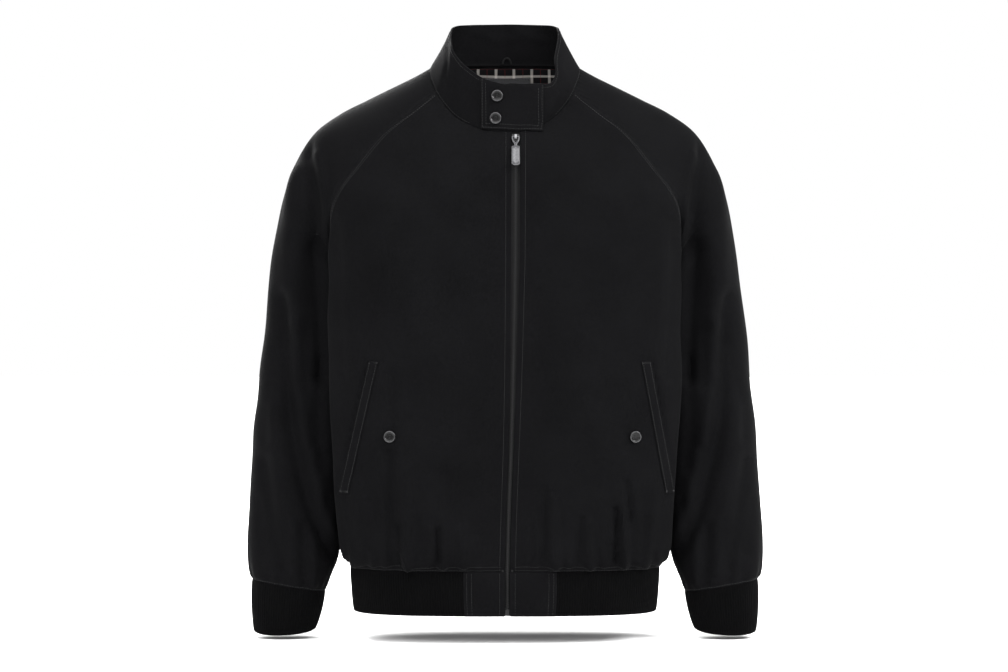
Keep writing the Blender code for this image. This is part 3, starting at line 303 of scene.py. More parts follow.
def readAcross(curve, lengths, side):
    lengths = np.asarray(lengths, float)
    points = readCurve(curve, np.abs(lengths))
    points[:, 0] *= np.where(lengths < 0, -1.0, 1.0)
    return mirrored(points, side)


def frontEdge(curve, side):
    middle, half = zipAt(curve["points"][0, 2])
    return side * middle + half


# how finely each panel is drawn
fineness = {"acrossFront": 84, "acrossBack": 130, "acrossHalfSleeve": 52, "rowStep": 3.4, "upCollar": 26}
frontMarks = (1.25, 1.7, 2.2, 2.65, 3.0, 3.4, 3.75, 4.1, 4.5, 5.0, 5.5, 6.0)
backMarks = (0, 0.7, 1.4, 2.0, 2.6, 3.2, 3.7, 4.1, 4.5, 5.1, 6.0)
panelWidths = {-1: 52.0, 1: 59.0}  # plain end panels of the waistband


def evenly(columnLengths, count):
    # from each row's lengths to the CAD's columns to those of evenly spread fine columns
    mean = np.mean(columnLengths, axis=0)
    wanted = np.linspace(mean[0], mean[-1], count)
    place = np.interp(wanted, mean, np.arange(len(mean)))
    return np.array([np.interp(place, np.arange(len(mean)), row) for row in columnLengths])


def frontControl(curves, side):
    bottom = curves[-1]
    panelMark = (frontEdge(bottom, side) + panelWidths[side]) / bottom["marks"][1]
    columns = []
    for curve in curves:
        start, panel = frontEdge(curve, side), markLength(curve, panelMark)
        columns.append([start, (start + panel) / 2, panel]
                       + [markLength(curve, mark) for mark in frontMarks])
    fine = evenly(np.array(columns), fineness["acrossFront"])
    return np.array([readAcross(curve, lengths, side) for curve, lengths in zip(curves, fine)])


def backControl(curves):
    columns = np.array([[markLength(curve, mark) for mark in backMarks] for curve in curves])
    fine = evenly(columns, fineness["acrossBack"] // 2 + 1)
    halves = [readCurve(curve, lengths) for curve, lengths in zip(curves, fine)]
    return np.array([np.concatenate([mirrored(half[::-1], -1), half[1:]]) for half in halves])


# the sleeve's sections
def seamNormal(grid, row):
    along = grid[min(row + 1, len(grid) - 1), -1] - grid[max(row - 1, 0), -1]
    across = grid[row, -1] - grid[row, -2]
    return unit(np.cross(across, along))


def leaveSeam(seam, target, normal, reach, hug, way):
    along = target - seam
    followed = unit(along - np.dot(along, normal) * normal)
    given = unit(np.array(way, float)) if any(way) else followed
    return seam + reach * unit(hug * followed + (1 - hug) * given)


def bezier(start, leave, arrive, end):
    t = np.linspace(0, 1, denseCount)[:, None]
    return (1 - t) ** 3 * start + 3 * t * (1 - t) ** 2 * leave + 3 * t**2 * (1 - t) * arrive + t**3 * end


def ringHalves(section):
    middle = (section["x_in"] + section["x_out"]) / 2
    half = (section["x_out"] - section["x_in"]) / 2
    halves = []
    for facing in (-1, 1):
        turn = np.linspace(0, math.pi, denseCount)
        cos = np.sign(np.cos(turn)) * np.abs(np.cos(turn)) ** (2 / ringSquareness)
        sin = np.abs(np.sin(turn)) ** (2 / ringSquareness)
        x = middle - half * cos
        share = (x - section["x_in"]) / (2 * half)
        z = section["z_in"] + (section["z_out"] - section["z_in"]) * share
        z = z + facing * sin * section.get("front_drop", 0.0)
        halves.append(makeCurve(np.stack([x, section["y_mid"] + facing * section["half_depth"] * sin, z],
                                         -1)))
    return halves


def acrossSleeve(front, back, count=None):
    shares = np.linspace(0, 1, (count or fineness["acrossHalfSleeve"]) + 1)
    ahead = readCurve(front, shares * front["total"])
    behind = readCurve(back, shares * back["total"])
    return np.concatenate([ahead, behind[::-1][1:]])


def sleeveControl(frontSeams, backSeams):
    rows = [acrossSleeve(neckCurve(station["front_raglan"], station["side"]),
                         neckCurve(station["back_raglan"], station["side"]))]
    for index, cap in enumerate(asTable(capColumns, capRows), start=1):
        top = np.array([cap["x_top"], cap["y_top"], cap["z_top"]], float)
        halves = []
        for name, grid, facing in (("front", frontSeams, -1), ("back", backSeams, 1)):
            seam = grid[index, -1]
            arrive = top + np.array([0, facing * cap["level_" + name], 0])
            way = [cap[name + "_" + axis] for axis in "xyz"]
            leave = leaveSeam(seam, arrive, seamNormal(grid, index), cap[name + "_reach"], cap["hug"], way)
            halves.append(makeCurve(bezier(seam, leave, arrive, top)))
        rows.append(acrossSleeve(*halves))
    for section in asTable(ringColumns, ringRows):
        rows.append(acrossSleeve(*ringHalves(section)))
    return np.array(rows)


def rowParts(grid, step):
    # fine rows in each stretch between two table rows
    gaps = np.linalg.norm(np.diff(grid, axis=0), axis=-1).max(axis=1)
    return np.maximum(2, np.ceil(gaps / step).astype(int))


def fineRows(grid, parts, seamWeight):
    # smooth past the underarm away from the seams, and with a corner there at the seams
    at = knotsOf(grid)
    places = [at[i] + (at[i + 1] - at[i]) * k / part for i, part in enumerate(parts)
              for k in range(part)] + [at[-1]]
    whole = spline(grid, at, places)
    cut = underarmRow
    split = int(sum(parts[:cut]))
    above = spline(grid[:cut + 1], at[:cut + 1], places[:split])
    below = spline(grid[cut:], at[cut:] - at[cut], [place - at[cut] for place in places[split:]])
    broken = np.concatenate([above, below])
    return whole * seamWeight[None, :, None] + broken * (1 - seamWeight[None, :, None])


def seamWeights(count, ends, width=7):
    # 0 at a seam, where the raglan and the side seam meet at an angle, and 1 a few columns in
    places = np.arange(count)
    distance = np.full(count, farAway)
    if "first" in ends:
        distance = np.minimum(distance, places)
    if "last" in ends:
        distance = np.minimum(distance, count - 1 - places)
    return smoothStep(0, width, distance)


def normalsOf(grid, outside, joinedFrom=None):
    down, across = np.gradient(grid, axis=0), np.gradient(grid, axis=1)
    if joinedFrom is not None:
        wrap = (grid[joinedFrom:, 1] - grid[joinedFrom:, -2]) / 2
        across[joinedFrom:, 0] = wrap
        across[joinedFrom:, -1] = wrap
    return unit(np.cross(down, across)) * outside


def followSeam(grid, seam, column, rows, reach=seamReach):
    # moves the columns near a seam so that its own column lies on the seam
    shift = seam - grid[:rows, column]
    count = grid.shape[1]
    order = range(reach) if column == 0 else range(count - 1, count - 1 - reach, -1)
    for step, c in enumerate(order):
        grid[:rows, c] += shift * (1 - smoothStep(0, reach, step))


def backBottom(curve):
    half = curve["points"]
    return np.concatenate([mirrored(half[::-1], -1), half[1:]])


def makeSkins():
    frontCurves, backCurves = allBodyCurves()
    controls = {side: frontControl(frontCurves, side) for side in (-1, 1)}
    backRough = backControl(backCurves)
    sleeveRough = sleeveControl(controls[1], backRough)
    parts = np.maximum(rowParts(backRough, fineness["rowStep"]), rowParts(controls[1], fineness["rowStep"]))
    sleeveParts = rowParts(sleeveRough, fineness["rowStep"])
    parts[:underarmRow] = np.maximum(parts[:underarmRow], sleeveParts[:underarmRow])
    sleeveParts[:underarmRow] = parts[:underarmRow]
    shared = int(sum(parts[:underarmRow])) + 1
    back = fineRows(backRough, parts, seamWeights(backRough.shape[1], ("first", "last")))
    left = fineRows(controls[1], parts, seamWeights(controls[1].shape[1], ("last",)))
    right = fineRows(controls[-1], parts, seamWeights(controls[-1].shape[1], ("last",)))
    # below the underarm the side seams of the front and back are one line
    side = (left[shared - 1:, -1] + back[shared - 1:, -1]) / 2
    for grid, column, facing in ((left, -1, 1), (right, -1, -1), (back, -1, 1), (back, 0, -1)):
        count = grid.shape[1]
        shift = mirrored(side, facing) - grid[shared - 1:, column]
        for step in range(seamReach):
            c = step if column == 0 else count - 1 - step
            grid[shared - 1:, c] += shift * (1 - smoothStep(0, seamReach, step))
    sleeve = fineRows(sleeveRough, sleeveParts, seamWeights(sleeveRough.shape[1], ("first", "last")))
    followSeam(sleeve, left[:shared, -1], 0, shared)
    followSeam(sleeve, back[:shared, -1], -1, shared)
    return {"front": {1: left, -1: right}, "back": back, "sleeve": {1: sleeve, -1: mirrored(sleeve, -1)},
            "underarm": shared - 1, "parts": parts, "frontBottom": frontCurves[-1],
            "backBottom": backBottom(backCurves[-1])}


# folds: paths in the front view (x, z), how far each stands out (+) or sinks (-), and its half width
frontFolds = (
    # above the waistband
    ((-151, -500), (-150, -590), (-146, -646), -6.0, 7.5), ((-129, -520), (-131, -640), 3.2, 8),
    ((-139, -596), (-137, -648), -5.0, 3.8), ((-77, -527), (-77, -572), -2.2, 8),
    ((136, -622), (139, -648), -4.0, 8),
    ((-172, -565), (-171, -625), -2.4, 7), ((-88, -600), (-87, -641), -5.0, 4.2),
    ((-97, -600), (-96, -641), 2.6, 6),
    ((-60, -602), (-58, -642), 2.2, 7), ((-34, -608), (-35, -642), -2.2, 6),
    ((-115, -586), (-118, -642), -2.2, 6),
    ((145, -574), (145, -642), -6.5, 4.2), ((153, -580), (156, -642), 3.2, 6),
    ((159, -538), (163, -586), -3.4, 4.5),
    ((168, -545), (170, -590), 2.0, 6), ((52, -552), (50, -638), -2.8, 5), ((61, -560), (60, -640), 2.2, 6),
    ((99, -586), (96, -642), -3.0, 5), ((108, -590), (107, -641), 2.2, 6),
    ((184, -588), (180, -638), -2.8, 6),
    ((36, -602), (35, -641), -2.2, 5), ((26, -596), (26, -640), 1.8, 5), ((122, -560), (124, -620), 1.6, 9),
    # slack beside and below the pockets
    ((-138, -396), (-136, -476), 1.9, 9), ((-150, -396), (-148, -476), -2.0, 8),
    ((-132, -470), (-128, -540), -1.6, 12), ((-196, -540), (-188, -620), 2.0, 9),
    ((196, -540), (190, -620), 2.0, 9),
    ((-205, -560), (-196, -625), -2.2, 6), ((206, -560), (198, -622), -2.2, 6),
    # drag lines below the raglan seams and beside the throat
    ((-112, -37), (-142, -40), (-168, -45), -1.7, 4.5), ((168, -62), (206, -60), -1.7, 4.5),
    # broad slack over the chest
    ((-205, -250), (-170, -330), (-120, -440), -3.0, 28), ((205, -250), (175, -335), (130, -430), -3.0, 28),
    ((-150, -225), (-120, -300), (-60, -420), 2.4, 30), ((150, -225), (120, -300), (66, -420), 2.4, 30),
)
frontPairs = (
    ((112, -150), (160, -110), -1.3, 16), ((222, -200), (219, -300), (212, -400), -3.4, 9),
)
sleeveFolds = (
    # both sleeves, given on the +x side
    ((262, -100), (256, -130), (248, -182), (243, -264), (240, -330), (238, -400), -9.5, 11),
    ((246, -112), (240, -140), (234, -190), (229, -236), 3.0, 6),
    ((282, -140), (284, -220), (282, -300), 2.4, 10),
    ((274, -130), (275, -240), (270, -330), 4.4, 12), ((254, -240), (256, -330), (262, -410), -4.0, 12),
    ((289, -300), (285, -405), (279, -458), (269, -510), (256, -562), (242, -600), (226, -626), -8.5, 10),
    ((272, -330), (268, -410), (260, -486), 4.0, 9), ((248, -500), (240, -556), (226, -600), 3.6, 9),
    ((302, -440), (294, -520), (284, -580), 3.8, 11), ((314, -510), (302, -600), (292, -650), -3.8, 8),
    ((238, -380), (242, -450), (240, -520), -3.6, 9), ((322, -560), (312, -630), -2.6, 8),
    ((262, -596), (262, -655), -3.0, 5.5), ((276, -590), (276, -655), 2.8, 6),
    ((247, -610), (250, -668), 2.4, 6),
    ((296, -360), (306, -420), (312, -480), -2.6, 9), ((230, -560), (236, -610), -2.6, 7),
)
backFolds = (
    ((-60, -120), (0, -132), (60, -120), -2.6, 14), ((-70, -96), (0, -108), (70, -96), 1.8, 12),
    ((-96, -550), (-98, -640), -3.8, 8), ((-40, -510), (-44, -640), -3.4, 8),
    ((22, -530), (24, -640), -3.8, 8),
    ((84, -490), (88, -640), -3.6, 9), ((-150, -510), (-152, -636), -3.2, 8),
    ((150, -520), (154, -636), -3.4, 8),
    ((-10, -580), (-9, -640), 2.6, 8), ((56, -580), (58, -640), 2.6, 8), ((118, -580), (120, -640), 2.8, 8),
    ((-70, -580), (-71, -640), 2.8, 8), ((-124, -580), (-126, -640), 2.4, 8),
    ((180, -560), (178, -636), 2.4, 8),
)
backPairs = (
    ((190, -230), (150, -330), (135, -430), -4.2, 20), ((205, -300), (198, -420), -3.4, 10),
    ((235, -300), (262, -380), (280, -420), -4.6, 12), ((230, -470), (262, -500), (300, -510), -4.4, 10),
    ((240, -430), (275, -455), (305, -455), 2.6, 11), ((236, -560), (270, -590), (310, -590), -3.8, 9),
    ((246, -610), (250, -668), 2.6, 6), ((280, -600), (281, -655), -3.0, 6),
)
pocketSlit = {"from": (180, -383), "to": (218.5, -550), "fromRight": (192, -383), "toRight": (224, -550),
              "depth": -2.6, "width": 2.6}
gathers = {"waistDepth": 2.0, "waistReach": 24.0, "cuffDepth": 1.9, "cuffReach": 20.0, "slack": 1.3,
           "cuffLevel": -670.0, "sleeveMiddle": 282, "sleeveRadius": 45, "pucker": 0.16, "sunk": 0.55}
viewFrom = {"distance": 3500.0, "x": -1.3, "z": -348.0}


def bothSides(folds):
    return [(*[(way * x, z) for x, z in path], amount, width) for *path, amount, width in folds
            for way in (1, -1)]


def asSeen(points):
    # where a point appears in the front view, on the plane y = 0
    share = viewFrom["distance"] / (viewFrom["distance"] + points[..., 1])
    x = viewFrom["x"] + (points[..., 0] - viewFrom["x"]) * share
    z = viewFrom["z"] + (points[..., 2] - viewFrom["z"]) * share
    return np.stack([x, z], -1)


def toPath(seen, path):
    nearest = np.full(seen.shape[:-1], 1e9)
    for start, end in zip(path[:-1], path[1:]):
        start, end = np.array(start, float), np.array(end, float)
        along = end - start
        t = np.clip(((seen - start) @ along) / (along @ along), 0, 1)
        nearest = np.minimum(nearest, np.linalg.norm(seen - start - t[..., None] * along, axis=-1))
    return nearest


def strokes(seen, folds):
    depth = np.zeros(seen.shape[:-1])
    for fold in folds:
        *path, amount, width = fold
        depth += amount * np.exp(-(toPath(seen, path) / width) ** 2)
    return depth


def ripple(along, seed):
    waves = ((61.0, 0.5), (37.0, 0.8), (23.0, 1.0), (14.5, 0.55))
    return sum(share * np.sin(2 * math.pi * along / length + seed * (k + 1.7)) for k,
               (length, share) in enumerate(waves))


def folded(points, normals, kind):
    seen = asSeen(points)
    ahead = smoothStep(0.05, 0.55, -normals[..., 1])
    behind = smoothStep(0.05, 0.55, normals[..., 1])
    depth = strokes(points[..., [0, 2]], [*backFolds, *bothSides(backPairs)]) * behind
    if kind == "sleeve":
        depth += strokes(np.abs(seen) * [1, -1], sleeveFolds) * ahead
        end = np.clip(points[..., 2] - gathers["cuffLevel"], 0, None)
        turn = np.arctan2(points[..., 1], np.abs(points[..., 0]) - gathers["sleeveMiddle"])
        depth += gathers["cuffDepth"] * ripple(turn * gathers["sleeveRadius"],
                                               3.0) * np.exp(-end / gathers["cuffReach"])
    else:
        p = pocketSlit
        left = [(-x, z) for x, z in (p["from"], p["to"])]
        slits = [(p["fromRight"], p["toRight"], p["depth"], p["width"]), (*left, p["depth"], p["width"])]
        depth += strokes(seen, [*frontFolds, *bothSides(frontPairs), *slits]) * ahead
        end = np.clip(points[..., 2] - waistLevel, 0, None)
        seed = 1.0 if kind == "front" else 2.0
        calm = smoothStep(20, 60, np.abs(points[..., 0])) if kind == "front" else 1.0
        depth += gathers["waistDepth"] * ripple(points[..., 0],
                                                seed) * np.exp(-end / gathers["waistReach"]) * calm
    x, y, z = points[..., 0], points[..., 1], points[..., 2]
    slack = (np.sin(x / 31 + 1.3 * np.sin(z / 57)) * np.sin(z / 44 + 0.9 * np.sin(x / 40 + y / 35))
             + 0.5 * np.sin(x / 15 + z / 23 + 2 * np.sin(y / 30 + z / 70)))
    depth += gathers["slack"] * slack * smoothStep(-60, -200, z)
    return depth


def runsOf(grid):
    # lengths across and down a grid from its first column and row
    rows, columns = grid.shape[:2]
    across = np.cumsum(np.linalg.norm(np.diff(grid, axis=1), axis=-1), axis=1)
    down = np.cumsum(np.linalg.norm(np.diff(grid, axis=0), axis=-1), axis=0)
    return np.concatenate([np.zeros((rows, 1)), across],
                          1), np.concatenate([np.zeros((1, columns)), down], 0)


def sew(grid, normals, kind, seams, fade):
    # folds, flattened towards the seams, and the seams sunk in a little
    across, down = runsOf(grid)
    far = {"first": across, "last": across[:, -1:] - across, "top": down, "bottom": down[-1:] - down}
    edge, calm = np.full(grid.shape[:2], farAway), np.ones(grid.shape[:2])
    for name, distance in far.items():
        if name in seams:
            edge = np.minimum(edge, distance)
        if name in fade:
            calm = calm * smoothStep(0, fade[name], distance)
    depth = folded(grid, normals, kind) * calm
    pucker = gathers["pucker"] * np.sin((grid[..., 0] + grid[..., 2] * 1.3 + grid[..., 1])
                                        / 2.1) * np.exp(-(edge / 9) ** 2)
    return grid + normals * (depth + pucker - gathers["sunk"] * np.exp(-(edge / 2.2) ** 2))[..., None], edge


def lengthsOver(grid):
    # lengths across and down a grid, which its map of the weave follows
    across, down = runsOf(grid)
    middle = grid.shape[1] // 2
    return np.stack([across - across[:, middle:middle + 1], -down], -1)


rimRound = 0.3  # how far an edge bulges, as a share of the wall
seamWear = 3.5
rimAngle = 38


def linked(name, data):
    obj = bpy.data.objects.new(name, data)
    bpy.context.collection.objects.link(obj)
    return obj


def shell(name, grid, normals, thick, outside, looks, joinedFrom=None, edge=None, lift=0.0, extra=None):
    rows, columns = grid.shape[:2]
    plain = np.arange(rows * columns).reshape(rows, columns)
    index = plain.copy()
    if joinedFrom is not None:
        index[joinedFrom:, -1] = index[joinedFrom:, 0]
        middle = unit(normals[joinedFrom:, 0] + normals[joinedFrom:, -1])
        normals = normals.copy()
        normals[joinedFrom:, 0] = middle
    quads, maps = [np.stack([g[:-1, :-1], g[1:, :-1], g[1:, 1:], g[:-1, 1:]], -1).reshape(-1, 4)
                   for g in (index, plain)]
    if outside < 0:
        quads, maps = quads[:, ::-1], maps[:, ::-1]
    count = rows * columns
    skin = (grid + normals * lift).reshape(-1, 3)
    flatNormals = normals.reshape(-1, 3)
    start, end = quads.ravel(), np.roll(quads, -1, axis=1).ravel()
    mapStart, mapEnd = maps.ravel(), np.roll(maps, -1, axis=1).ravel()
    rim = ~np.isin(start * count + end, end * count + start)
    start, end, mapStart, mapEnd = start[rim], end[rim], mapStart[rim], mapEnd[rim]
    off = np.zeros_like(skin)
    edgeWay = np.cross(unit(skin[end] - skin[start]), flatNormals[start])
    np.add.at(off, start, edgeWay)
    np.add.at(off, end, edgeWay)
    inner = skin - flatNormals * thick
    middle = (skin + inner) / 2 + unit(off) * thick * rimRound
    a, b = start, end
    faces = [quads, quads[:, ::-1] + count, np.stack([b, a, a + 2 * count, b + 2 * count], -1),
             np.stack([b + 2 * count, a + 2 * count, a + count, b + count], -1)]
    uvFaces = [maps, maps[:, ::-1]] + [np.stack([mapEnd, mapStart, mapStart, mapEnd], -1)] * 2
    slots = np.concatenate([np.full(len(part), 1 if k == 1 else 0) for k, part in enumerate(faces)])
    faces, uvFaces = np.concatenate(faces), np.concatenate(uvFaces)
    every = np.concatenate([skin, inner, middle])
    used, faces = np.unique(faces, return_inverse=True)
    faces = faces.reshape(-1, 4)
    mesh = bpy.data.meshes.new(name)
    mesh.from_pydata((every[used] * mm).tolist(), [], faces.tolist())
    mesh.uv_layers.new(name="weave")
    lengths = lengthsOver(grid).reshape(-1, 2) * 0.01  # one map unit is 100 mm
    mesh.uv_layers["weave"].data.foreach_set("uv", lengths[uvFaces].astype(np.float32).ravel())
    mesh.polygons.foreach_set("material_index", slots.astype(np.int32))
    near = np.zeros(count) if edge is None else np.exp(-(edge.ravel() / seamWear) ** 2)
    near = np.concatenate([near, np.zeros(count), near])[used]
    mesh.attributes.new("seamNear", "FLOAT", "POINT").data.foreach_set("value", near.astype(np.float32))
    for label, values in (extra or {}).items():
        values = np.tile(values.ravel(), 3)[used].astype(np.float32)
        mesh.attributes.new(label, "FLOAT", "POINT").data.foreach_set("value", values)
    mesh.shade_smooth()
    for look in looks:
        mesh.materials.append(look)
    crispEdges(mesh, rimAngle)
    return linked(name, mesh)


def crispEdges(mesh, degrees):
    work = bmesh.new()
    work.from_mesh(mesh)
    for line in work.edges:
        line.smooth = not (len(line.link_faces) == 2 and line.calc_face_angle(0.0) > math.radians(degrees))
    work.to_mesh(mesh)
    work.free()


clothLooks = {
    "cotton": {"dark": (0.0010, 0.0010, 0.0012), "light": (0.0034, 0.0034, 0.0038),
               "worn": (0.0060, 0.0060, 0.0064),
               "speck": 620.0, "patch": 14.0, "weave": 38.0, "twill": 1.0, "bump": 0.35, "rough": 0.82,
               "gloss": 0.03, "sheen": 0.007, "sheenRough": 0.35},
    "knit": {"dark": (0.0005, 0.0005, 0.0006), "light": (0.0018, 0.0018, 0.0019),
             "worn": (0.010, 0.010, 0.010),
             "speck": 480.0, "patch": 25.0, "weave": 20.0, "twill": 0.0, "bump": 0.6, "rough": 0.95,
             "gloss": 0.025, "sheen": 0.007, "sheenRough": 0.5},
    "inside": {"dark": (0.0045, 0.0045, 0.0050), "light": (0.0080, 0.0080, 0.0088),
               "worn": (0.010, 0.010, 0.010),
               "speck": 700.0, "patch": 20.0, "weave": 60.0, "twill": 1.0, "bump": 0.15, "rough": 0.5,
               "gloss": 0.12, "sheen": 0.01, "sheenRough": 0.4},
    "tapeCloth": {"dark": (0.0030, 0.0030, 0.0032), "light": (0.0070, 0.0070, 0.0074),
                  "worn": (0.014, 0.014, 0.014),
                  "speck": 520.0, "patch": 30.0, "weave": 30.0, "twill": 1.0, "bump": 0.5, "rough": 0.85,
                  "gloss": 0.08, "sheen": 0.02, "sheenRough": 0.5},
    "thread": {"dark": (0.0016, 0.0016, 0.0018), "light": (0.0052, 0.0052, 0.0056),
               "worn": (0.03, 0.03, 0.03),
               "speck": 900.0, "patch": 60.0, "weave": 90.0, "twill": 1.0, "bump": 0.3, "rough": 0.7,
               "gloss": 0.3, "sheen": 0.05, "sheenRough": 0.5},
    "satin": {"dark": (0.060, 0.061, 0.064), "light": (0.082, 0.083, 0.088), "worn": (0.09, 0.09, 0.09),
              "speck": 500.0, "patch": 40.0, "weave": 70.0, "twill": 0.0, "bump": 0.15, "rough": 0.55,
              "gloss": 0.3, "sheen": 0.02, "sheenRough": 0.4},
}


def startLook(name):
    look = bpy.data.materials.new(name)
    look.use_nodes = True
    nodes = look.node_tree.nodes
    return look, nodes, look.node_tree.links, nodes["Principled BSDF"]


def mathNode(nodes, links, operation, first, second=None, third=None):
    node = nodes.new("ShaderNodeMath")
    node.operation = operation
    for socket, value in zip(node.inputs, (first, second, third)):
        if value is None:
            continue
        if isinstance(value, (int, float)):
            socket.default_value = value
        else:
            links.new(value, socket)
    return node.outputs[0]


def blendColours(nodes, links, share, first, second):
    node = nodes.new("ShaderNodeMix")
    node.data_type = "RGBA"
    colours = [socket for socket in node.inputs if socket.type == "RGBA"]
    links.new(share, node.inputs[0])
    for socket, value in zip(colours, (first, second)):
        if isinstance(value, tuple):
            socket.default_value = (*value, 1.0)
        else:
            links.new(value, socket)
    return [socket for socket in node.outputs if socket.type == "RGBA"][0]


def noiseNode(nodes, links, vector, scale, detail=2.0):
    node = nodes.new("ShaderNodeTexNoise")
    node.inputs["Scale"].default_value = scale
    node.inputs["Detail"].default_value = detail
    links.new(vector, node.inputs["Vector"])
    return node.outputs[0]


def weaveHeight(nodes, links, pitch, twill):
    # diagonal lines for twill, crossed ones otherwise, along the piece's own map
    uv = nodes.new("ShaderNodeUVMap")
    uv.uv_map = "weave"
    heights = []
    for turn, scale in ((math.radians(62) if twill else 0.0, pitch), (math.radians(90), pitch * 1.15)):
        place = nodes.new("ShaderNodeMapping")
        place.inputs["Rotation"].default_value = (0.0, 0.0, turn)
        links.new(uv.outputs[0], place.inputs["Vector"])
        wave = nodes.new("ShaderNodeTexWave")
        wave.inputs["Scale"].default_value = scale
        wave.inputs["Distortion"].default_value = 0.8
        wave.inputs["Detail"].default_value = 1.0
        links.new(place.outputs[0], wave.inputs["Vector"])
        heights.append(wave.outputs["Fac"])
    return mathNode(nodes, links, "ADD", heights[0], mathNode(nodes, links, "MULTIPLY", heights[1], 0.4))


def bumpFrom(nodes, links, height, strength, depth, shader):
    bump = nodes.new("ShaderNodeBump")
    bump.inputs["Strength"].default_value = strength
    bump.inputs["Distance"].default_value = depth
    links.new(height, bump.inputs["Height"])
    links.new(bump.outputs[0], shader.inputs["Normal"])


clothMix = {"speck": 1.6, "patch": 0.9, "start": -0.45, "floor": 0.3, "wearScale": 260.0, "wear": 2.4,
            "wearStart": -0.95,
            "wearMost": 0.5, "weave": 0.5, "bumpDepth": 0.0004, "roughSpread": 0.14}


def held(nodes, links, value):
    # kept between 0 and 1
    return mathNode(nodes, links, "MINIMUM", mathNode(nodes, links, "MAXIMUM", value, 0.0), 1.0)


def clothLook(name):
    s, m = clothLooks[name], clothMix
    look, nodes, links, shader = startLook(name)
    place = nodes.new("ShaderNodeTexCoord").outputs["Object"]
    speck = noiseNode(nodes, links, place, s["speck"], 3.0)
    patchy = noiseNode(nodes, links, place, s["patch"], 3.0)
    near = nodes.new("ShaderNodeAttribute")
    near.attribute_name = "seamNear"
    share = mathNode(nodes, links, "MULTIPLY_ADD", speck, m["speck"], m["start"])
    share = mathNode(nodes, links, "MULTIPLY_ADD", patchy, m["patch"], share)
    share = held(nodes, links, mathNode(nodes, links, "SUBTRACT", share, m["floor"]))
    base = blendColours(nodes, links, share, s["dark"], s["light"])
    wear = noiseNode(nodes, links, place, m["wearScale"], 2.0)
    wear = held(nodes, links, mathNode(nodes, links, "MULTIPLY_ADD", wear, m["wear"], m["wearStart"]))
    wear = mathNode(nodes, links, "MULTIPLY", mathNode(nodes, links, "MULTIPLY", wear, near.outputs["Fac"]),
                    m["wearMost"])
    links.new(blendColours(nodes, links, wear, base, s["worn"]), shader.inputs["Base Color"])
    height = mathNode(nodes, links, "MULTIPLY_ADD", weaveHeight(nodes, links, s["weave"], s["twill"]),
                      m["weave"], speck)
    bumpFrom(nodes, links, height, s["bump"], m["bumpDepth"], shader)
    rough = mathNode(nodes, links, "MULTIPLY_ADD", patchy, m["roughSpread"],
                     s["rough"] - m["roughSpread"] / 2)
    links.new(rough, shader.inputs["Roughness"])
    shader.inputs["Specular IOR Level"].default_value = s["gloss"]
    shader.inputs["Sheen Weight"].default_value = s["sheen"]
    shader.inputs["Sheen Roughness"].default_value = s["sheenRough"]
    return look


checkLook = {"pitch": 0.24, "pale": 0.17, "thin": 0.045, "black": (0.004, 0.004, 0.005),
             "white": (0.62, 0.59, 0.55),
             "grey": (0.06, 0.058, 0.056), "red": (0.16, 0.014, 0.016)}


def bandMask(nodes, links, along, pitch, start, width):
    # 1 inside an even band along a map direction
    turn = mathNode(nodes, links, "FRACT",
                    mathNode(nodes, links, "MULTIPLY_ADD", along, 1 / pitch, 50.0 - start))
    edge = mathNode(nodes, links, "SUBTRACT", width / 2, mathNode(nodes, links, "ABSOLUTE",
                    mathNode(nodes, links, "SUBTRACT", turn, 0.5)))
    return held(nodes, links, mathNode(nodes, links, "MULTIPLY", edge, 40.0))


def makeCheck():
    # an even check of pale bands on black, with one thin red line each way in the dark squares
    s = checkLook
    look, nodes, links, shader = startLook("checkLining")
    uv = nodes.new("ShaderNodeUVMap")
    uv.uv_map = "weave"
    split = nodes.new("ShaderNodeSeparateXYZ")
    links.new(uv.outputs[0], split.inputs[0])
    warp, weft = [bandMask(nodes, links, split.outputs[k], s["pitch"], 0.0, s["pale"]) for k in (0, 1)]
    redWarp, redWeft = [bandMask(nodes, links, split.outputs[k], s["pitch"], 0.5, s["thin"])
                        for k in (0, 1)]
    either = mathNode(nodes, links, "MAXIMUM", warp, weft)
    both = mathNode(nodes, links, "MULTIPLY", warp, weft)
    colour = blendColours(nodes, links, either, s["black"], s["grey"])
    colour = blendColours(nodes, links, mathNode(nodes, links, "MULTIPLY", weft, 0.55), colour, s["white"])
    colour = blendColours(nodes, links, mathNode(nodes, links, "MULTIPLY", warp, 0.55), colour, s["white"])
    colour = blendColours(nodes, links, both, colour, s["white"])
    red = mathNode(nodes, links, "MULTIPLY", mathNode(nodes, links, "MAXIMUM", redWarp, redWeft), 0.75)
    colour = blendColours(nodes, links, red, colour, s["red"])
    links.new(colour, shader.inputs["Base Color"])
    bumpFrom(nodes, links, weaveHeight(nodes, links, 45.0, 1.0), 0.2, 0.0003, shader)
    shader.inputs["Roughness"].default_value = 0.8
    shader.inputs["Specular IOR Level"].default_value = 0.2
    return look


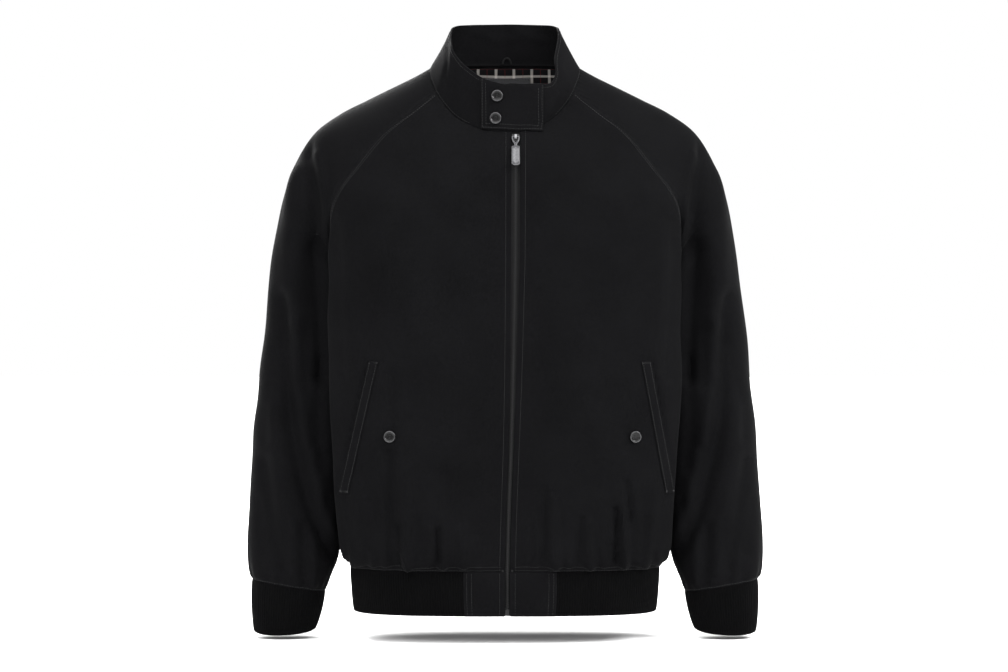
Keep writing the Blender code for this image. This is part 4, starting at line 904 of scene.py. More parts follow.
hardLooks = {
    "horn": {"dark": (0.0008, 0.0008, 0.0009), "light": (0.0022, 0.0022, 0.0023), "metal": 0.0,
             "rough": 0.2,
             "spread": 0.10, "scale": 160.0, "gloss": 0.2},
    # a lighter, part-metal copy of the horn for the front of each button's rim: a painted highlight ring
    "hornRimPaintedHighlight": {"dark": (0.022, 0.022, 0.023), "light": (0.055, 0.055, 0.057), "metal": 0.6, "rough": 0.2,
                "spread": 0.10, "scale": 160.0, "gloss": 0.5},
    "steel": {"dark": (0.10, 0.10, 0.104), "light": (0.20, 0.20, 0.205), "metal": 1.0, "rough": 0.3,
              "spread": 0.18, "scale": 420.0, "gloss": 0.5},
    "steelFace": {"dark": (0.025, 0.025, 0.027), "light": (0.06, 0.06, 0.063), "metal": 1.0, "rough": 0.36,
                  "spread": 0.18, "scale": 420.0, "gloss": 0.5},
    "blackTeeth": {"dark": (0.0030, 0.0030, 0.0032), "light": (0.0090, 0.0090, 0.0094), "metal": 0.3,
                   "rough": 0.4,
                   "spread": 0.14, "scale": 300.0, "gloss": 0.3},
}


def hardLook(name):
    s = hardLooks[name]
    look, nodes, links, shader = startLook(name)
    place = nodes.new("ShaderNodeTexCoord").outputs["Object"]
    fine = noiseNode(nodes, links, place, s["scale"], 3.0)
    links.new(blendColours(nodes, links, fine, s["dark"], s["light"]), shader.inputs["Base Color"])
    links.new(mathNode(nodes, links, "MULTIPLY_ADD", fine, s["spread"], s["rough"] - s["spread"] / 2),
              shader.inputs["Roughness"])
    bumpFrom(nodes, links, noiseNode(nodes, links, place, s["scale"] * 6, 2.0), 0.12, 0.0002, shader)
    shader.inputs["Metallic"].default_value = s["metal"]
    shader.inputs["Specular IOR Level"].default_value = s["gloss"]
    return look


print("looks")
looks = {name: clothLook(name) for name in clothLooks}
looks.update({name: hardLook(name) for name in hardLooks})
looks["check"] = makeCheck()


def keep(obj, body, slot, *nodes):
    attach(obj, body)
    if nodes:
        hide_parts(*nodes)
    return obj


print("skins")
skins = makeSkins()
clothWall = 1.5
underarm = skins["underarm"]


def seamPulled(grid, sides, by=seamClear):
    grid = grid.copy()
    steps = {"top": (np.s_[0], np.s_[1]), "bottom": (np.s_[-1], np.s_[-2]),
             "first": (np.s_[:, 0], np.s_[:, 1]), "last": (np.s_[:, -1], np.s_[:, -2])}
    for side in sides:
        edge, inside = steps[side]
        grid[edge] += by * unit(grid[inside] - grid[edge])
    return grid


panels = {}


def makePanel(name, kind, grid, outside, seams, fade, joinedFrom=None):
    normals = normalsOf(grid, outside, joinedFrom)
    sewn, edge = sew(grid, normals, kind, seams, fade)
    if joinedFrom is not None:
        sewn[joinedFrom:, -1] = sewn[joinedFrom:, 0]
    normals = normalsOf(sewn, outside, joinedFrom)
    panels[name] = (sewn, normals)
    return sewn, normals, edge


def makeBody():
    for side, name in ((-1, "right"), (1, "left")):
        grid = skins["front"][side]
        sewn, normals, edge = makePanel("front_" + name, "front", grid, side, ("top", "last", "bottom"),
                                        {"first": 26, "last": 16, "top": 30, "bottom": 7})
        drawn = seamPulled(sewn, ("top", "bottom", "last"))
        obj = shell("front" + name.title(), drawn, normals, clothWall, side,
                    (looks["cotton"], looks["inside"]), edge=edge)
        keep(obj, "jacket", "cloth", "front_" + name)
    grid = skins["back"]
    sewn, normals, edge = makePanel("back", "back", grid, -1, ("top", "first", "last", "bottom"),
                                    {"first": 16, "last": 16, "top": 30, "bottom": 7})
    drawn = seamPulled(sewn, ("top", "bottom", "first", "last"))
    obj = shell("backPanel", drawn, normals, clothWall, -1, (looks["cotton"], looks["inside"]), edge=edge)
    keep(obj, "jacket", "cloth", "back")
    for side, name in ((-1, "right"), (1, "left")):
        grid = skins["sleeve"][side]
        sewn, normals, edge = makePanel("sleeve_" + name, "sleeve", grid, side,
                                        ("top", "first", "last", "bottom"),
                                        {"first": 12, "last": 12, "top": 24, "bottom": 7}, underarm)
        drawn = seamPulled(sewn, ("top", "bottom"))
        for column, inside in ((0, 1), (-1, -2)):
            drawn[:underarm, column] += seamClear * unit(sewn[:underarm, inside] - sewn[:underarm, column])
        obj = shell("sleeve" + name.title(), drawn, normals, clothWall, side,
                    (looks["cotton"], looks["inside"]),
                    joinedFrom=underarm, edge=edge)
        keep(obj, "jacket", "cloth", "sleeve_" + name)


makeBody()
print("body and sleeves")

collarSizes = {"thick": 2.4, "across": 150, "tuckIn": 0.9, "tuckDown": 1.8}
collarFolds = (
    ((-75, 33), (-76, 6), (-79, -14), -1.3, 2.6), ((-70, 30), (-71, 4), (-74, -12), 0.9, 3.0),
    ((-60, 14), (-64, -14), (-70, -34), -1.0, 5.0), ((-48, -6), (-52, -30), -0.7, 6.0),
    ((68, 16), (66, -8), (70, -28), -1.0, 5.0), ((56, -10), (60, -36), -0.8, 6.0),
    ((-40, 48), (-10, 36), (20, 40), -0.9, 7.0), ((10, 52), (34, 40), (52, 36), -0.8, 6.0),
)


def neckPoints(side, stations):
    rows = asTable(neckColumns, neckRows)
    points = np.array([[row[axis + "_neck"] for axis in "xyz"] for row in rows], float)
    read = spline(points, np.arange(len(rows)), np.abs(stations), mirrored(points[1], -1),
                  mirrored(points[-2], -1))
    return read * np.stack([np.where(stations < 0, -side, side), np.ones(len(stations)),
                            np.ones(len(stations))], -1)


def collarEdge(side, stations):
    name = "left" if side == 1 else "right"
    rows = asTable(neckColumns, neckRows)
    points = np.array([[row[axis + "_" + name] for axis in "xyz"] + [row["bulge_" + name]] for row in rows],
                      float)
    flip = np.array([-1.0, 1.0, 1.0, 1.0])
    read = spline(points, np.arange(len(rows)), np.abs(stations), points[1] * flip, points[-2] * flip)
    read[:, 0] *= np.where(stations < 0, -1.0, 1.0) * side
    return read[:, :3], read[:, 3]


def stationAt(x):
    stations = np.linspace(0, 1, 200)
    return float(np.interp(abs(x), neckPoints(1, stations)[:, 0], stations)) * (1 if x >= 0 else -1)


def collarControl():
    bottoms, tops, bulges = [], [], []
    for side in (-1, 1):
        start = stationAt(side * skins["front"][side][0, 0, 0])
        dense = np.linspace(start, 8, 1200)
        at = knotsOf(neckPoints(side, dense))
        stations = np.interp(np.linspace(0, at[-1], collarSizes["across"]), at, dense)
        edge, bulge = collarEdge(side, stations)
        order = slice(None) if side == -1 else slice(-2, None, -1)
        bottoms.append(neckPoints(side, stations)[order])
        tops.append(edge[order])
        bulges.append(bulge[order])
    bottom, top, bulge = np.concatenate(bottoms), np.concatenate(tops), np.concatenate(bulges)
    out = unit(np.cross(top - bottom, unit(np.gradient(bottom, axis=0))))
    shares = np.linspace(1, 0, fineness["upCollar"])
    return np.array([bottom + (top - bottom) * share + out * (bulge * math.sin(math.pi * share))[:, None]
                     for share in shares])


def makeCollar():
    grid = collarControl()
    normals = normalsOf(grid, -1)
    down = runsOf(grid)[1]
    seen = asSeen(grid)
    calm = smoothStep(0, 9, down[-1:] - down)
    throat = smoothStep(32, 52, np.abs(grid[..., 0] - 9))
    depth = strokes(seen, collarFolds) * calm * np.maximum(throat, smoothStep(0, 20, grid[..., 1]))
    depth += 0.35 * np.sin(grid[..., 0] / 9 + grid[..., 2] / 14) * calm * throat
    edge = np.minimum(down[-1:] - down, down + 1.5)
    sewn = grid + normals * (depth - 0.4 * np.exp(-((down[-1:] - down) / 2.2) ** 2))[..., None]
    normals = normalsOf(sewn, -1)
    # a seam allowance goes on inside the body
    tucked = (sewn[-1:] - normals[-1:] * collarSizes["tuckIn"]
              - np.array([0.0, 0.0, collarSizes["tuckDown"]]))
    drawn = np.concatenate([sewn, tucked])
    obj = shell("collarStand", drawn, normalsOf(drawn, -1), collarSizes["thick"], -1,
                (looks["cotton"], looks["cotton"]), edge=np.concatenate([edge, edge[-1:]]))
    keep(obj, "jacket", "cloth", "collar")
    panels["collar"] = (sewn, normals)
    return sewn


collar = makeCollar()


def quadFaces(rows, columns, first=0):
    plain = np.arange(rows * columns).reshape(rows, columns) + first
    return np.stack([plain[:-1, :-1], plain[1:, :-1], plain[1:, 1:], plain[:-1, 1:]],
                    -1).reshape(-1, 4).tolist()


def treeOf(*grids):
    points, faces = [], []
    for grid in grids:
        faces += quadFaces(*grid.shape[:2], first=sum(len(part) for part in points))
        points.append(grid.reshape(-1, 3))
    return BVHTree.FromPolygons(np.concatenate(points).tolist(), faces)


def straightBehind(tree, x, z, start=-400.0, way=1.0):
    hit = tree.ray_cast(Vector((x, start, z)), Vector((0.0, way, 0.0)))[0]
    return None if hit is None else np.array(hit)


def castGrid(tree, xs, zs, start=-400.0, way=1.0):
    # a grid laid on a skin, straight behind or before each x, z
    found = np.full(xs.shape + (3,), np.nan)
    for place in np.ndindex(xs.shape):
        hit = straightBehind(tree, xs[place], zs[place], start, way)
        if hit is not None:
            found[place] = hit
    for column in range(xs.shape[1]):
        line = found[:, column, 1]
        good = ~np.isnan(line)
        line[~good] = np.interp(np.flatnonzero(~good), np.flatnonzero(good), line[good])
        found[:, column, 0], found[:, column, 2] = xs[:, column], zs[:, column]
    return found


def softened(grid, rounds):
    grid = grid.copy()
    for _ in range(rounds):
        grid[1:-1, :, 1] = (grid[:-2, :, 1] + 2 * grid[1:-1, :, 1] + grid[2:, :, 1]) / 4
        grid[:, 1:-1, 1] = (grid[:, :-2, 1] + 2 * grid[:, 1:-1, 1] + grid[:, 2:, 1]) / 4
    return grid


tabSizes = {"xRight": -30.0, "xLeft": 48.0, "zRight": -84.0, "zLeft": -88.0, "thick": 2.0, "clear": 0.5,
            "across": 66, "down": 50}


def makeTab():
    s = tabSizes
    frontTops = [panels["front_" + name][0][:12] for name in ("right", "left")]
    bridge = np.stack([collar[:, 0], collar[:, -1]], 1)
    lower = np.stack([frontTops[0][:, 0], frontTops[1][:, 0]], 1)
    tree = treeOf(collar, bridge, lower, *frontTops)
    ahead = collar[0][collar[0][:, 1] < -30]
    order = np.argsort(ahead[:, 0])
    x = np.linspace(s["xRight"], s["xLeft"], s["across"])
    top = np.interp(x, ahead[order, 0], ahead[order, 2]) - 0.3
    bottom = s["zRight"] + (s["zLeft"] - s["zRight"]) * (x - s["xRight"]) / (s["xLeft"] - s["xRight"])
    share = np.linspace(0, 1, s["down"])[:, None]
    grid = softened(castGrid(tree, np.broadcast_to(x, (s["down"], len(x))), top + (bottom - top) * share),
                    5)
    normals = normalsOf(grid, 1)
    obj = shell("throatTab", grid, normals, s["thick"], 1, (looks["cotton"], looks["cotton"]),
                edge=sewnEdge(grid), lift=s["clear"] + s["thick"])
    keep(obj, "jacket", "cloth", "collar_tab")
    panels["tab"] = (grid + normals * (s["clear"] + s["thick"]), normals)


def sewnEdge(grid):
    lengths = lengthsOver(grid)
    across, down = lengths[..., 0] - lengths[:, :1, 0], -lengths[..., 1]
    return np.minimum(np.minimum(across, across[:, -1:] - across), np.minimum(down, down[-1:] - down))


makeTab()
print("collar and tab")


def newTree(name, inputs):
    tree = bpy.data.node_groups.new(name, "GeometryNodeTree")
    tree.interface.new_socket("Geometry", in_out="INPUT", socket_type="NodeSocketGeometry")
    for label, kind, value in inputs:
        socket = tree.interface.new_socket(label, in_out="INPUT", socket_type=kind)
        if value is not None:
            socket.default_value = value
    tree.interface.new_socket("Geometry", in_out="OUTPUT", socket_type="NodeSocketGeometry")
    return tree, tree.nodes, tree.links, tree.nodes.new("NodeGroupInput"), tree.nodes.new("NodeGroupOutput")


def treeMath(tree, operation, first, second=None):
    return mathNode(tree.nodes, tree.links, operation, first, second)


def stepsAlong(nodes, links, given):
    # a path of edges as a curve, and points at even steps on it
    path = nodes.new("GeometryNodeMeshToCurve")
    links.new(given.outputs["Geometry"], path.inputs[0])
    steps = nodes.new("GeometryNodeCurveToPoints")
    steps.mode = "LENGTH"
    links.new(path.outputs[0], steps.inputs["Curve"])
    return steps


def endTree(tree, geometry, given, out):
    realize = tree.nodes.new("GeometryNodeRealizeInstances")
    paint = tree.nodes.new("GeometryNodeSetMaterial")
    tree.links.new(geometry, realize.inputs[0])
    tree.links.new(realize.outputs[0], paint.inputs["Geometry"])
    tree.links.new(given.outputs["Material"], paint.inputs["Material"])
    tree.links.new(paint.outputs[0], out.inputs[0])


def stitchTree():
    # one thread bar at each even step along a path
    tree, nodes, links, given, out = newTree("stitchRow", (
        ("Stitch Length", "NodeSocketFloat", 0.0024), ("Gap", "NodeSocketFloat", 0.0009),
        ("Thread", "NodeSocketFloat", 0.0005), ("Seed", "NodeSocketInt", 4),
        ("Material", "NodeSocketMaterial", None)))
    steps = stepsAlong(nodes, links, given)
    links.new(treeMath(tree, "ADD", given.outputs["Stitch Length"], given.outputs["Gap"]),
              steps.inputs["Length"])
    bar = nodes.new("GeometryNodeMeshUVSphere")
    bar.inputs["Segments"].default_value = 6
    bar.inputs["Rings"].default_value = 4
    bar.inputs["Radius"].default_value = 0.5
    turn = nodes.new("FunctionNodeAlignRotationToVector")
    turn.axis = "X"
    links.new(steps.outputs["Tangent"], turn.inputs["Vector"])
    varied = nodes.new("FunctionNodeRandomValue")
    varied.data_type = "FLOAT"
    low, high = [socket for socket in varied.inputs if socket.type == "VALUE"][:2]
    low.default_value, high.default_value = 0.85, 1.08
    links.new(given.outputs["Seed"], varied.inputs["Seed"])
    size = nodes.new("ShaderNodeCombineXYZ")
    value = [socket for socket in varied.outputs if socket.type == "VALUE"][0]
    links.new(treeMath(tree, "MULTIPLY", given.outputs["Stitch Length"], value), size.inputs[0])
    links.new(given.outputs["Thread"], size.inputs[1])
    links.new(given.outputs["Thread"], size.inputs[2])
    place = nodes.new("GeometryNodeInstanceOnPoints")
    links.new(steps.outputs["Points"], place.inputs["Points"])
    links.new(bar.outputs["Mesh"], place.inputs["Instance"])
    links.new(turn.outputs[0], place.inputs["Rotation"])
    links.new(size.outputs[0], place.inputs["Scale"])
    endTree(tree, place.outputs[0], given, out)
    return tree


def threadTree():
    # a thread that follows a path, for bar tacks and button shanks
    tree, nodes, links, given, out = newTree("threadRun", (
        ("Thread", "NodeSocketFloat", 0.0005), ("Sides", "NodeSocketInt", 5),
        ("Material", "NodeSocketMaterial", None)))
    path = nodes.new("GeometryNodeMeshToCurve")
    links.new(given.outputs["Geometry"], path.inputs[0])
    ring = nodes.new("GeometryNodeCurvePrimitiveCircle")
    links.new(given.outputs["Sides"], ring.inputs["Resolution"])
    links.new(treeMath(tree, "MULTIPLY", given.outputs["Thread"], 0.5), ring.inputs["Radius"])
    tube = nodes.new("GeometryNodeCurveToMesh")
    tube.inputs["Fill Caps"].default_value = True
    links.new(path.outputs[0], tube.inputs["Curve"])
    links.new(ring.outputs[0], tube.inputs["Profile Curve"])
    endTree(tree, tube.outputs[0], given, out)
    return tree


def teethTree():
    # teeth in turn from either side of the zip
    tree, nodes, links, given, out = newTree("zipTeeth", (
        ("Pitch", "NodeSocketFloat", 0.0014), ("Width", "NodeSocketFloat", 0.0036),
        ("Height", "NodeSocketFloat", 0.0009),
        ("Depth", "NodeSocketFloat", 0.0022), ("Offset", "NodeSocketFloat", 0.0009),
        ("Material", "NodeSocketMaterial", None)))
    steps = stepsAlong(nodes, links, given)
    links.new(given.outputs["Pitch"], steps.inputs["Length"])
    index = nodes.new("GeometryNodeInputIndex")
    odd = treeMath(tree, "MODULO", index.outputs[0], 2.0)
    sign = treeMath(tree, "SUBTRACT", treeMath(tree, "MULTIPLY", odd, 2.0), 1.0)
    shift = nodes.new("ShaderNodeCombineXYZ")
    links.new(treeMath(tree, "MULTIPLY", sign, given.outputs["Offset"]), shift.inputs[0])
    move = nodes.new("GeometryNodeSetPosition")
    links.new(steps.outputs["Points"], move.inputs["Geometry"])
    links.new(shift.outputs[0], move.inputs["Offset"])
    tooth = nodes.new("GeometryNodeMeshCylinder")
    tooth.inputs["Vertices"].default_value = 8
    tooth.inputs["Radius"].default_value = 0.5
    tooth.inputs["Depth"].default_value = 1.0
    size = nodes.new("ShaderNodeCombineXYZ")
    for k, label in enumerate(("Width", "Depth", "Height")):
        links.new(given.outputs[label], size.inputs[k])
    place = nodes.new("GeometryNodeInstanceOnPoints")
    links.new(move.outputs[0], place.inputs["Points"])
    links.new(tooth.outputs["Mesh"], place.inputs["Instance"])
    links.new(size.outputs[0], place.inputs["Scale"])
    endTree(tree, place.outputs[0], given, out)
    return tree


def ribTree():
    # raises rounded ribs on a band, whose points carry their place counted in ribs
    tree, nodes, links, given, out = newTree("knitRibs", (
        ("Depth", "NodeSocketFloat", 0.0007), ("Material", "NodeSocketMaterial", None)))
    phase = nodes.new("GeometryNodeInputNamedAttribute")
    phase.inputs["Name"].default_value = "ribPlace"
    fade = nodes.new("GeometryNodeInputNamedAttribute")
    fade.inputs["Name"].default_value = "ribFade"
    values = [[socket for socket in node.outputs if socket.type == "VALUE"][0] for node in (phase, fade)]
    wave = treeMath(tree, "ABSOLUTE",
                    treeMath(tree, "SINE", treeMath(tree, "MULTIPLY", values[0], math.pi)))
    height = treeMath(tree, "SUBTRACT", treeMath(tree, "POWER", wave, 0.7), 0.6)
    height = treeMath(tree, "MULTIPLY", treeMath(tree, "MULTIPLY", height, values[1]),
                      given.outputs["Depth"])
    normal = nodes.new("GeometryNodeInputNormal")
    push = nodes.new("ShaderNodeVectorMath")
    push.operation = "SCALE"
    links.new(normal.outputs[0], push.inputs[0])
    links.new(height, push.inputs["Scale"])
    move = nodes.new("GeometryNodeSetPosition")
    links.new(given.outputs["Geometry"], move.inputs["Geometry"])
    links.new(push.outputs[0], move.inputs["Offset"])
    endTree(tree, move.outputs[0], given, out)
    return tree


trees = {"stitch": stitchTree(), "thread": threadTree(), "teeth": teethTree(), "rib": ribTree()}


def grown(obj, tree, values):
    # runs a tree on an object and leaves a plain mesh
    modifier = obj.modifiers.new(tree.name, "NODES")
    modifier.node_group = tree
    for item in tree.interface.items_tree:
        if item.item_type == "SOCKET" and item.in_out == "INPUT" and item.name in values:
            modifier[item.identifier] = values[item.name]
    return flattened(obj)


def flattened(obj):
    bpy.context.view_layer.update()
    graph = bpy.context.evaluated_depsgraph_get()
    mesh = bpy.data.meshes.new_from_object(obj.evaluated_get(graph), depsgraph=graph)
    obj.modifiers.clear()
    obj.data = mesh
    return obj


def pathObject(name, paths):
    points, edges = [], []
    for path in paths:
        first = len(points)
        points += (np.asarray(path) * mm).tolist()
        edges += [(first + k, first + k + 1) for k in range(len(path) - 1)]
    mesh = bpy.data.meshes.new(name)
    mesh.from_pydata(points, edges, [])
    return linked(name, mesh)


ribSizes = {"thick": 2.4, "pitch": 3.3, "depth": 0.75, "perRib": 6, "bandRows": 18, "cuffRows": 20,
            "still": 3.0,
            "bandBulge": 1.6, "cuffBulge": 1.8, "cuffRound": 250}


def bandGrid(run, rows):
    levels = []
    for share in np.linspace(0, 1, rows):
        row = run.copy()
        row[:, :2] *= np.interp(share, [0.0] + [r[0] for r in bandRows], [1.0] + [r[1] for r in bandRows])
        out = unit(np.stack([run[:, 0], run[:, 1], np.zeros(len(run))], -1))
        row += out * ribSizes["bandBulge"] * math.sin(math.pi * share)
        row[:, 2] = waistLevel + (hemLevel - waistLevel) * share
        levels.append(row)
    return np.array(levels)


def resampled(points, step):
    at = knotsOf(points)
    count = max(2, int(round(at[-1] / step)) + 1)
    places = np.linspace(0, at[-1], count)
    return np.stack([np.interp(places, at, points[:, k]) for k in range(3)], -1)


def ribPlaces(grid):
    # each point's place counted in ribs, and how far the ribs have risen there
    s = ribSizes
    lengths = lengthsOver(grid)
    middle = grid.shape[0] // 2
    place = lengths[middle, :, 0] - lengths[middle, 0, 0]
    phase = np.broadcast_to(place / place[-1] * round(place[-1] / s["pitch"]), grid.shape[:2])
    down = -lengths[..., 1]
    fade = smoothStep(0, s["still"], down) * smoothStep(0, s["still"] * 1.5, down[-1:] - down)
    return phase, fade


def makeBands():
    s = ribSizes
    curve = skins["frontBottom"]
    runs = {}
    for side in (-1, 1):
        start = frontEdge(curve, side)
        panelEnd = start + panelWidths[side]
        panel = readAcross(curve, np.linspace(start, panelEnd, 24), side)
        runs[side] = resampled(readAcross(curve, np.linspace(panelEnd, curve["total"], 400), side),
                               s["pitch"] / s["perRib"])
        name = "left" if side == 1 else "right"
        grid = bandGrid(panel, s["bandRows"])
        normals = normalsOf(grid, side)
        obj = shell("waistPanel" + name.title(), seamPulled(grid, ("top", "last")), normals, s["thick"],
                    side,
                    (looks["cotton"], looks["cotton"]), edge=sewnEdge(grid))
        keep(obj, "jacket", "cloth", "waist_panel_" + name)
        panels["waist_" + name] = (grid, normals)
    back = resampled(skins["backBottom"], s["pitch"] / s["perRib"])
    run = np.concatenate([runs[-1], back[1:], runs[1][::-1][1:]])
    grid = bandGrid(run, s["bandRows"])
    makeRibbed("waistRib", grid, -1, None, "waist_rib")


def makeRibbed(name, grid, outside, joinedFrom, node):
    s = ribSizes
    normals = normalsOf(grid, outside, joinedFrom)
    sides = ("top",) if joinedFrom is not None else ("top", "first", "last")
    phase, fade = ribPlaces(grid)
    obj = shell(name, seamPulled(grid, sides), normals, s["thick"] - s["depth"], outside,
                (looks["knit"], looks["knit"]),
                joinedFrom=joinedFrom, extra={"ribPlace": phase, "ribFade": fade}, lift=-s["depth"] / 2)
    grown(obj, trees["rib"], {"Depth": s["depth"] * mm, "Material": looks["knit"]})
    keep(obj, "jacket", "rib", node)


def makeCuffs():
    s = ribSizes
    count = int(round(s["cuffRound"] / s["pitch"] * s["perRib"] / 2))
    topRow = acrossSleeve(*ringHalves(asTable(ringColumns, ringRows)[-1]), count=count)
    endRow = acrossSleeve(*ringHalves(cuffEnd), count=count)
    for side, name in ((-1, "right"), (1, "left")):
        rows = []
        for share in np.linspace(0, 1, s["cuffRows"]):
            row = topRow + (endRow - topRow) * share
            row = row + unit(row - row.mean(axis=0)) * s["cuffBulge"] * math.sin(math.pi * share) ** 0.8
            rows.append(mirrored(row, side))
        makeRibbed("cuff" + name.title(), np.array(rows), side, 0, "cuff_" + name)


makeBands()
makeCuffs()
print("waistband and cuffs")

weltSizes = {"width": 11.0, "thick": 1.2, "clear": 0.3, "across": 7, "down": 70}
frontTrees = {side: treeOf(panels["front_" + name][0]) for side, name in ((-1, "right"), (1, "left"))}


def makeWelts():
    s = weltSizes
    for row in asTable(pocketColumns, pocketRows):
        side = row["side"]
        name = "left" if side == 1 else "right"
        share = np.linspace(0, 1, s["down"])[:, None]
        outerX = side * (row["x_upper"] + (row["x_lower"] - row["x_upper"]) * share)
        z = row["z_upper"] + (row["z_lower"] - row["z_upper"]) * share
        across = np.linspace(0, 1, s["across"])[None, :]
        x = outerX - side * s["width"] * (1 - across)
        grid = softened(castGrid(frontTrees[side], x, z + 0 * x), 1)
        normals = normalsOf(grid, side)
        obj = shell("pocketWelt" + name.title(), grid, normals, s["thick"], side,
                    (looks["cotton"], looks["cotton"]),
                    edge=sewnEdge(grid), lift=s["clear"] + s["thick"])
        keep(obj, "jacket", "cloth", "pocket_welt_" + name)
        panels["welt_" + name] = (grid + normals * (s["clear"] + s["thick"]), normals)


# how far a loop of thread has come across a pair of holes, and its height as a share of the depth
threadLoop = ((-0.62, 0.35), (-0.55, 0.74), (-0.3, 0.82), (0.3, 0.82), (0.55, 0.74), (0.62, 0.35))
# rim: the band, as shares of the half width, whose front faces get the painted highlight ring
buttonSizes = {"width": 15.5, "depth": 3.0, "sides": 48, "holeRadius": 0.675, "holeSides": 12,
               "holeSpread": 2.875,
               "threadSpread": 2.53, "rim": (0.79, 0.91), "clear": 0.3}
buttonProfile = ((0.0, 0.0), (0.72, 0.0), (0.86, 0.06), (0.96, 0.22), (1.0, 0.42), (0.995, 0.62),
                 (0.965, 0.82),
                 (0.915, 0.95), (0.85, 1.0), (0.78, 0.98), (0.72, 0.9), (0.67, 0.78), (0.62, 0.71),
                 (0.55, 0.68), (0.0, 0.66))


def seatOn(tree, x, z, radius):
    left, right = straightBehind(tree, x - radius, z), straightBehind(tree, x + radius, z)
    low, high = straightBehind(tree, x, z - radius), straightBehind(tree, x, z + radius)
    down = unit(low - high)
    normal = unit(np.cross(down, right - left))
    middle = straightBehind(tree, x, z)
    proud = max(0.0, max(float(np.dot(point - middle, normal)) for point in (left, right, low, high)))
    return middle + normal * proud, normal, down


threads = []


def addCut(obj, cutter):
    cut = obj.modifiers.new("cut", "BOOLEAN")
    cut.operation = "DIFFERENCE"
    cut.solver = "EXACT"
    cut.object = cutter


def addBevel(obj, width):
    soft = obj.modifiers.new("soft edges", "BEVEL")
    soft.width = width * mm
    soft.segments = 2
    soft.limit_method = "ANGLE"


def makeButton(node, tree, x, z):
    s = buttonSizes
    first, *others = node.split("_")
    name = first + "".join(word.title() for word in others)
    centre, normal, down = seatOn(tree, x, z, s["width"] / 2)
    centre = centre + normal * s["clear"]
    across = unit(np.cross(down, normal))
    points, faces, starts = [], [], []
    for radius, height in buttonProfile:
        starts.append(len(points))
        for k in range(s["sides"] if radius else 1):
            turn = 2 * math.pi * k / s["sides"]
            out = across * math.cos(turn) + down * math.sin(turn)
            points.append(centre + out * radius * s["width"] / 2 + normal * height * s["depth"])
    for k in range(s["sides"]):
        after = (k + 1) % s["sides"]
        faces.append((starts[0], starts[1] + after, starts[1] + k))
        for ring in range(1, len(starts) - 2):
            faces.append((starts[ring] + k, starts[ring] + after, starts[ring + 1] + after,
                          starts[ring + 1] + k))
        faces.append((starts[-2] + k, starts[-2] + after, starts[-1]))
    obj = plainMesh(name, points, faces, [looks["horn"], looks["hornRimPaintedHighlight"]])
    holes = []
    for dx in (-0.5, 0.5):
        for dz in (-0.5, 0.5):
            place = centre + (across * dx + down * dz) * s["holeSpread"]
            holes.append(prismMesh(place - normal, normal * (s["depth"] + 2), across, down, s["holeRadius"],
                                   s["holeSides"]))
    cutter = joinedMesh(name + "Holes", holes)
    addCut(obj, cutter)
    flattened(obj)
    bpy.data.objects.remove(cutter, do_unlink=True)
    # the front faces of the raised rim between these radii take the lighter rim look, a painted highlight
    # ring
    inner, outer = [share * s["width"] / 2 for share in s["rim"]]
    for polygon in obj.data.polygons:
        arm = np.array(polygon.center) / mm - centre
        fromMiddle = np.linalg.norm(arm - normal * float(arm @ normal))
        facing = float(np.array(polygon.normal) @ normal) > 0.3
        polygon.material_index = 1 if facing and inner < fromMiddle < outer else 0
        polygon.use_smooth = True
    crispEdges(obj.data, 40)
    keep(obj, "jacket", "button", node)
    for dz in (-0.5, 0.5):
        base = centre + down * dz * s["holeSpread"]
        threads.append([base + across * dx * s["threadSpread"] + normal * height * s["depth"]
                        for dx, height in threadLoop])


def plainMesh(name, points, faces, materials, smooth=True):
    mesh = bpy.data.meshes.new(name)
    mesh.from_pydata((np.asarray(points) * mm).tolist(), [], [list(map(int, face)) for face in faces])
    work = bmesh.new()
    work.from_mesh(mesh)
    bmesh.ops.recalc_face_normals(work, faces=work.faces)
    work.to_mesh(mesh)
    work.free()
    for look in materials:
        mesh.materials.append(look)
    if smooth:
        mesh.shade_smooth()
    return linked(name, mesh)


def prismMesh(base, rise, across, down, radius, sides):
    ring = [base + (across * math.cos(2 * math.pi * k / sides) + down * math.sin(2 * math.pi * k / sides))
            * radius
            for k in range(sides)]
    points = ring + [point + rise for point in ring]
    faces = [tuple(range(sides)), tuple(range(2 * sides - 1, sides - 1, -1))]
    faces += [(k, k + sides, (k + 1) % sides + sides, (k + 1) % sides) for k in range(sides)]
    return points, faces


def joinedMesh(name, parts, materials=(), smooth=False):
    points, faces = [], []
    for somePoints, someFaces in parts:
        first = len(points)
        points += list(somePoints)
        faces += [tuple(index + first for index in face) for face in someFaces]
    return plainMesh(name, points, faces, materials, smooth)


def makeButtons():
    for row in asTable(buttonColumns, pocketButtons):
        makeButton(row["name"], frontTrees[1 if row["x"] > 0 else -1], row["x"], row["z"])
    tree = treeOf(panels["tab"][0])
    for row in asTable(buttonColumns, collarButtons):
        makeButton(row["name"], tree, row["x"], row["z"])


makeWelts()
makeButtons()
print("pockets and buttons")

zipSizes = {"tapeNear": 0.15, "tapeFar": 17.0, "tapePly": 0.9, "bandThick": 2.4, "clear": 0.3,
            "sliderTop": 5.0,
            "sliderLength": 11.0, "boxLength": 8.0, "chainDepth": 2.4, "step": 3.0, "endTop": 1.0,
            "endHem": 0.5}
pullSizes = {"length": 44.0, "width": 10.2, "depth": 1.6, "tilt": 2.0,
             "bevel": 0.35,
             "ridges": 5, "ridgeWide": 0.62, "ridgeHigh": 0.28, "ridgeFrom": 17.5, "ridgeTo": 42.0}
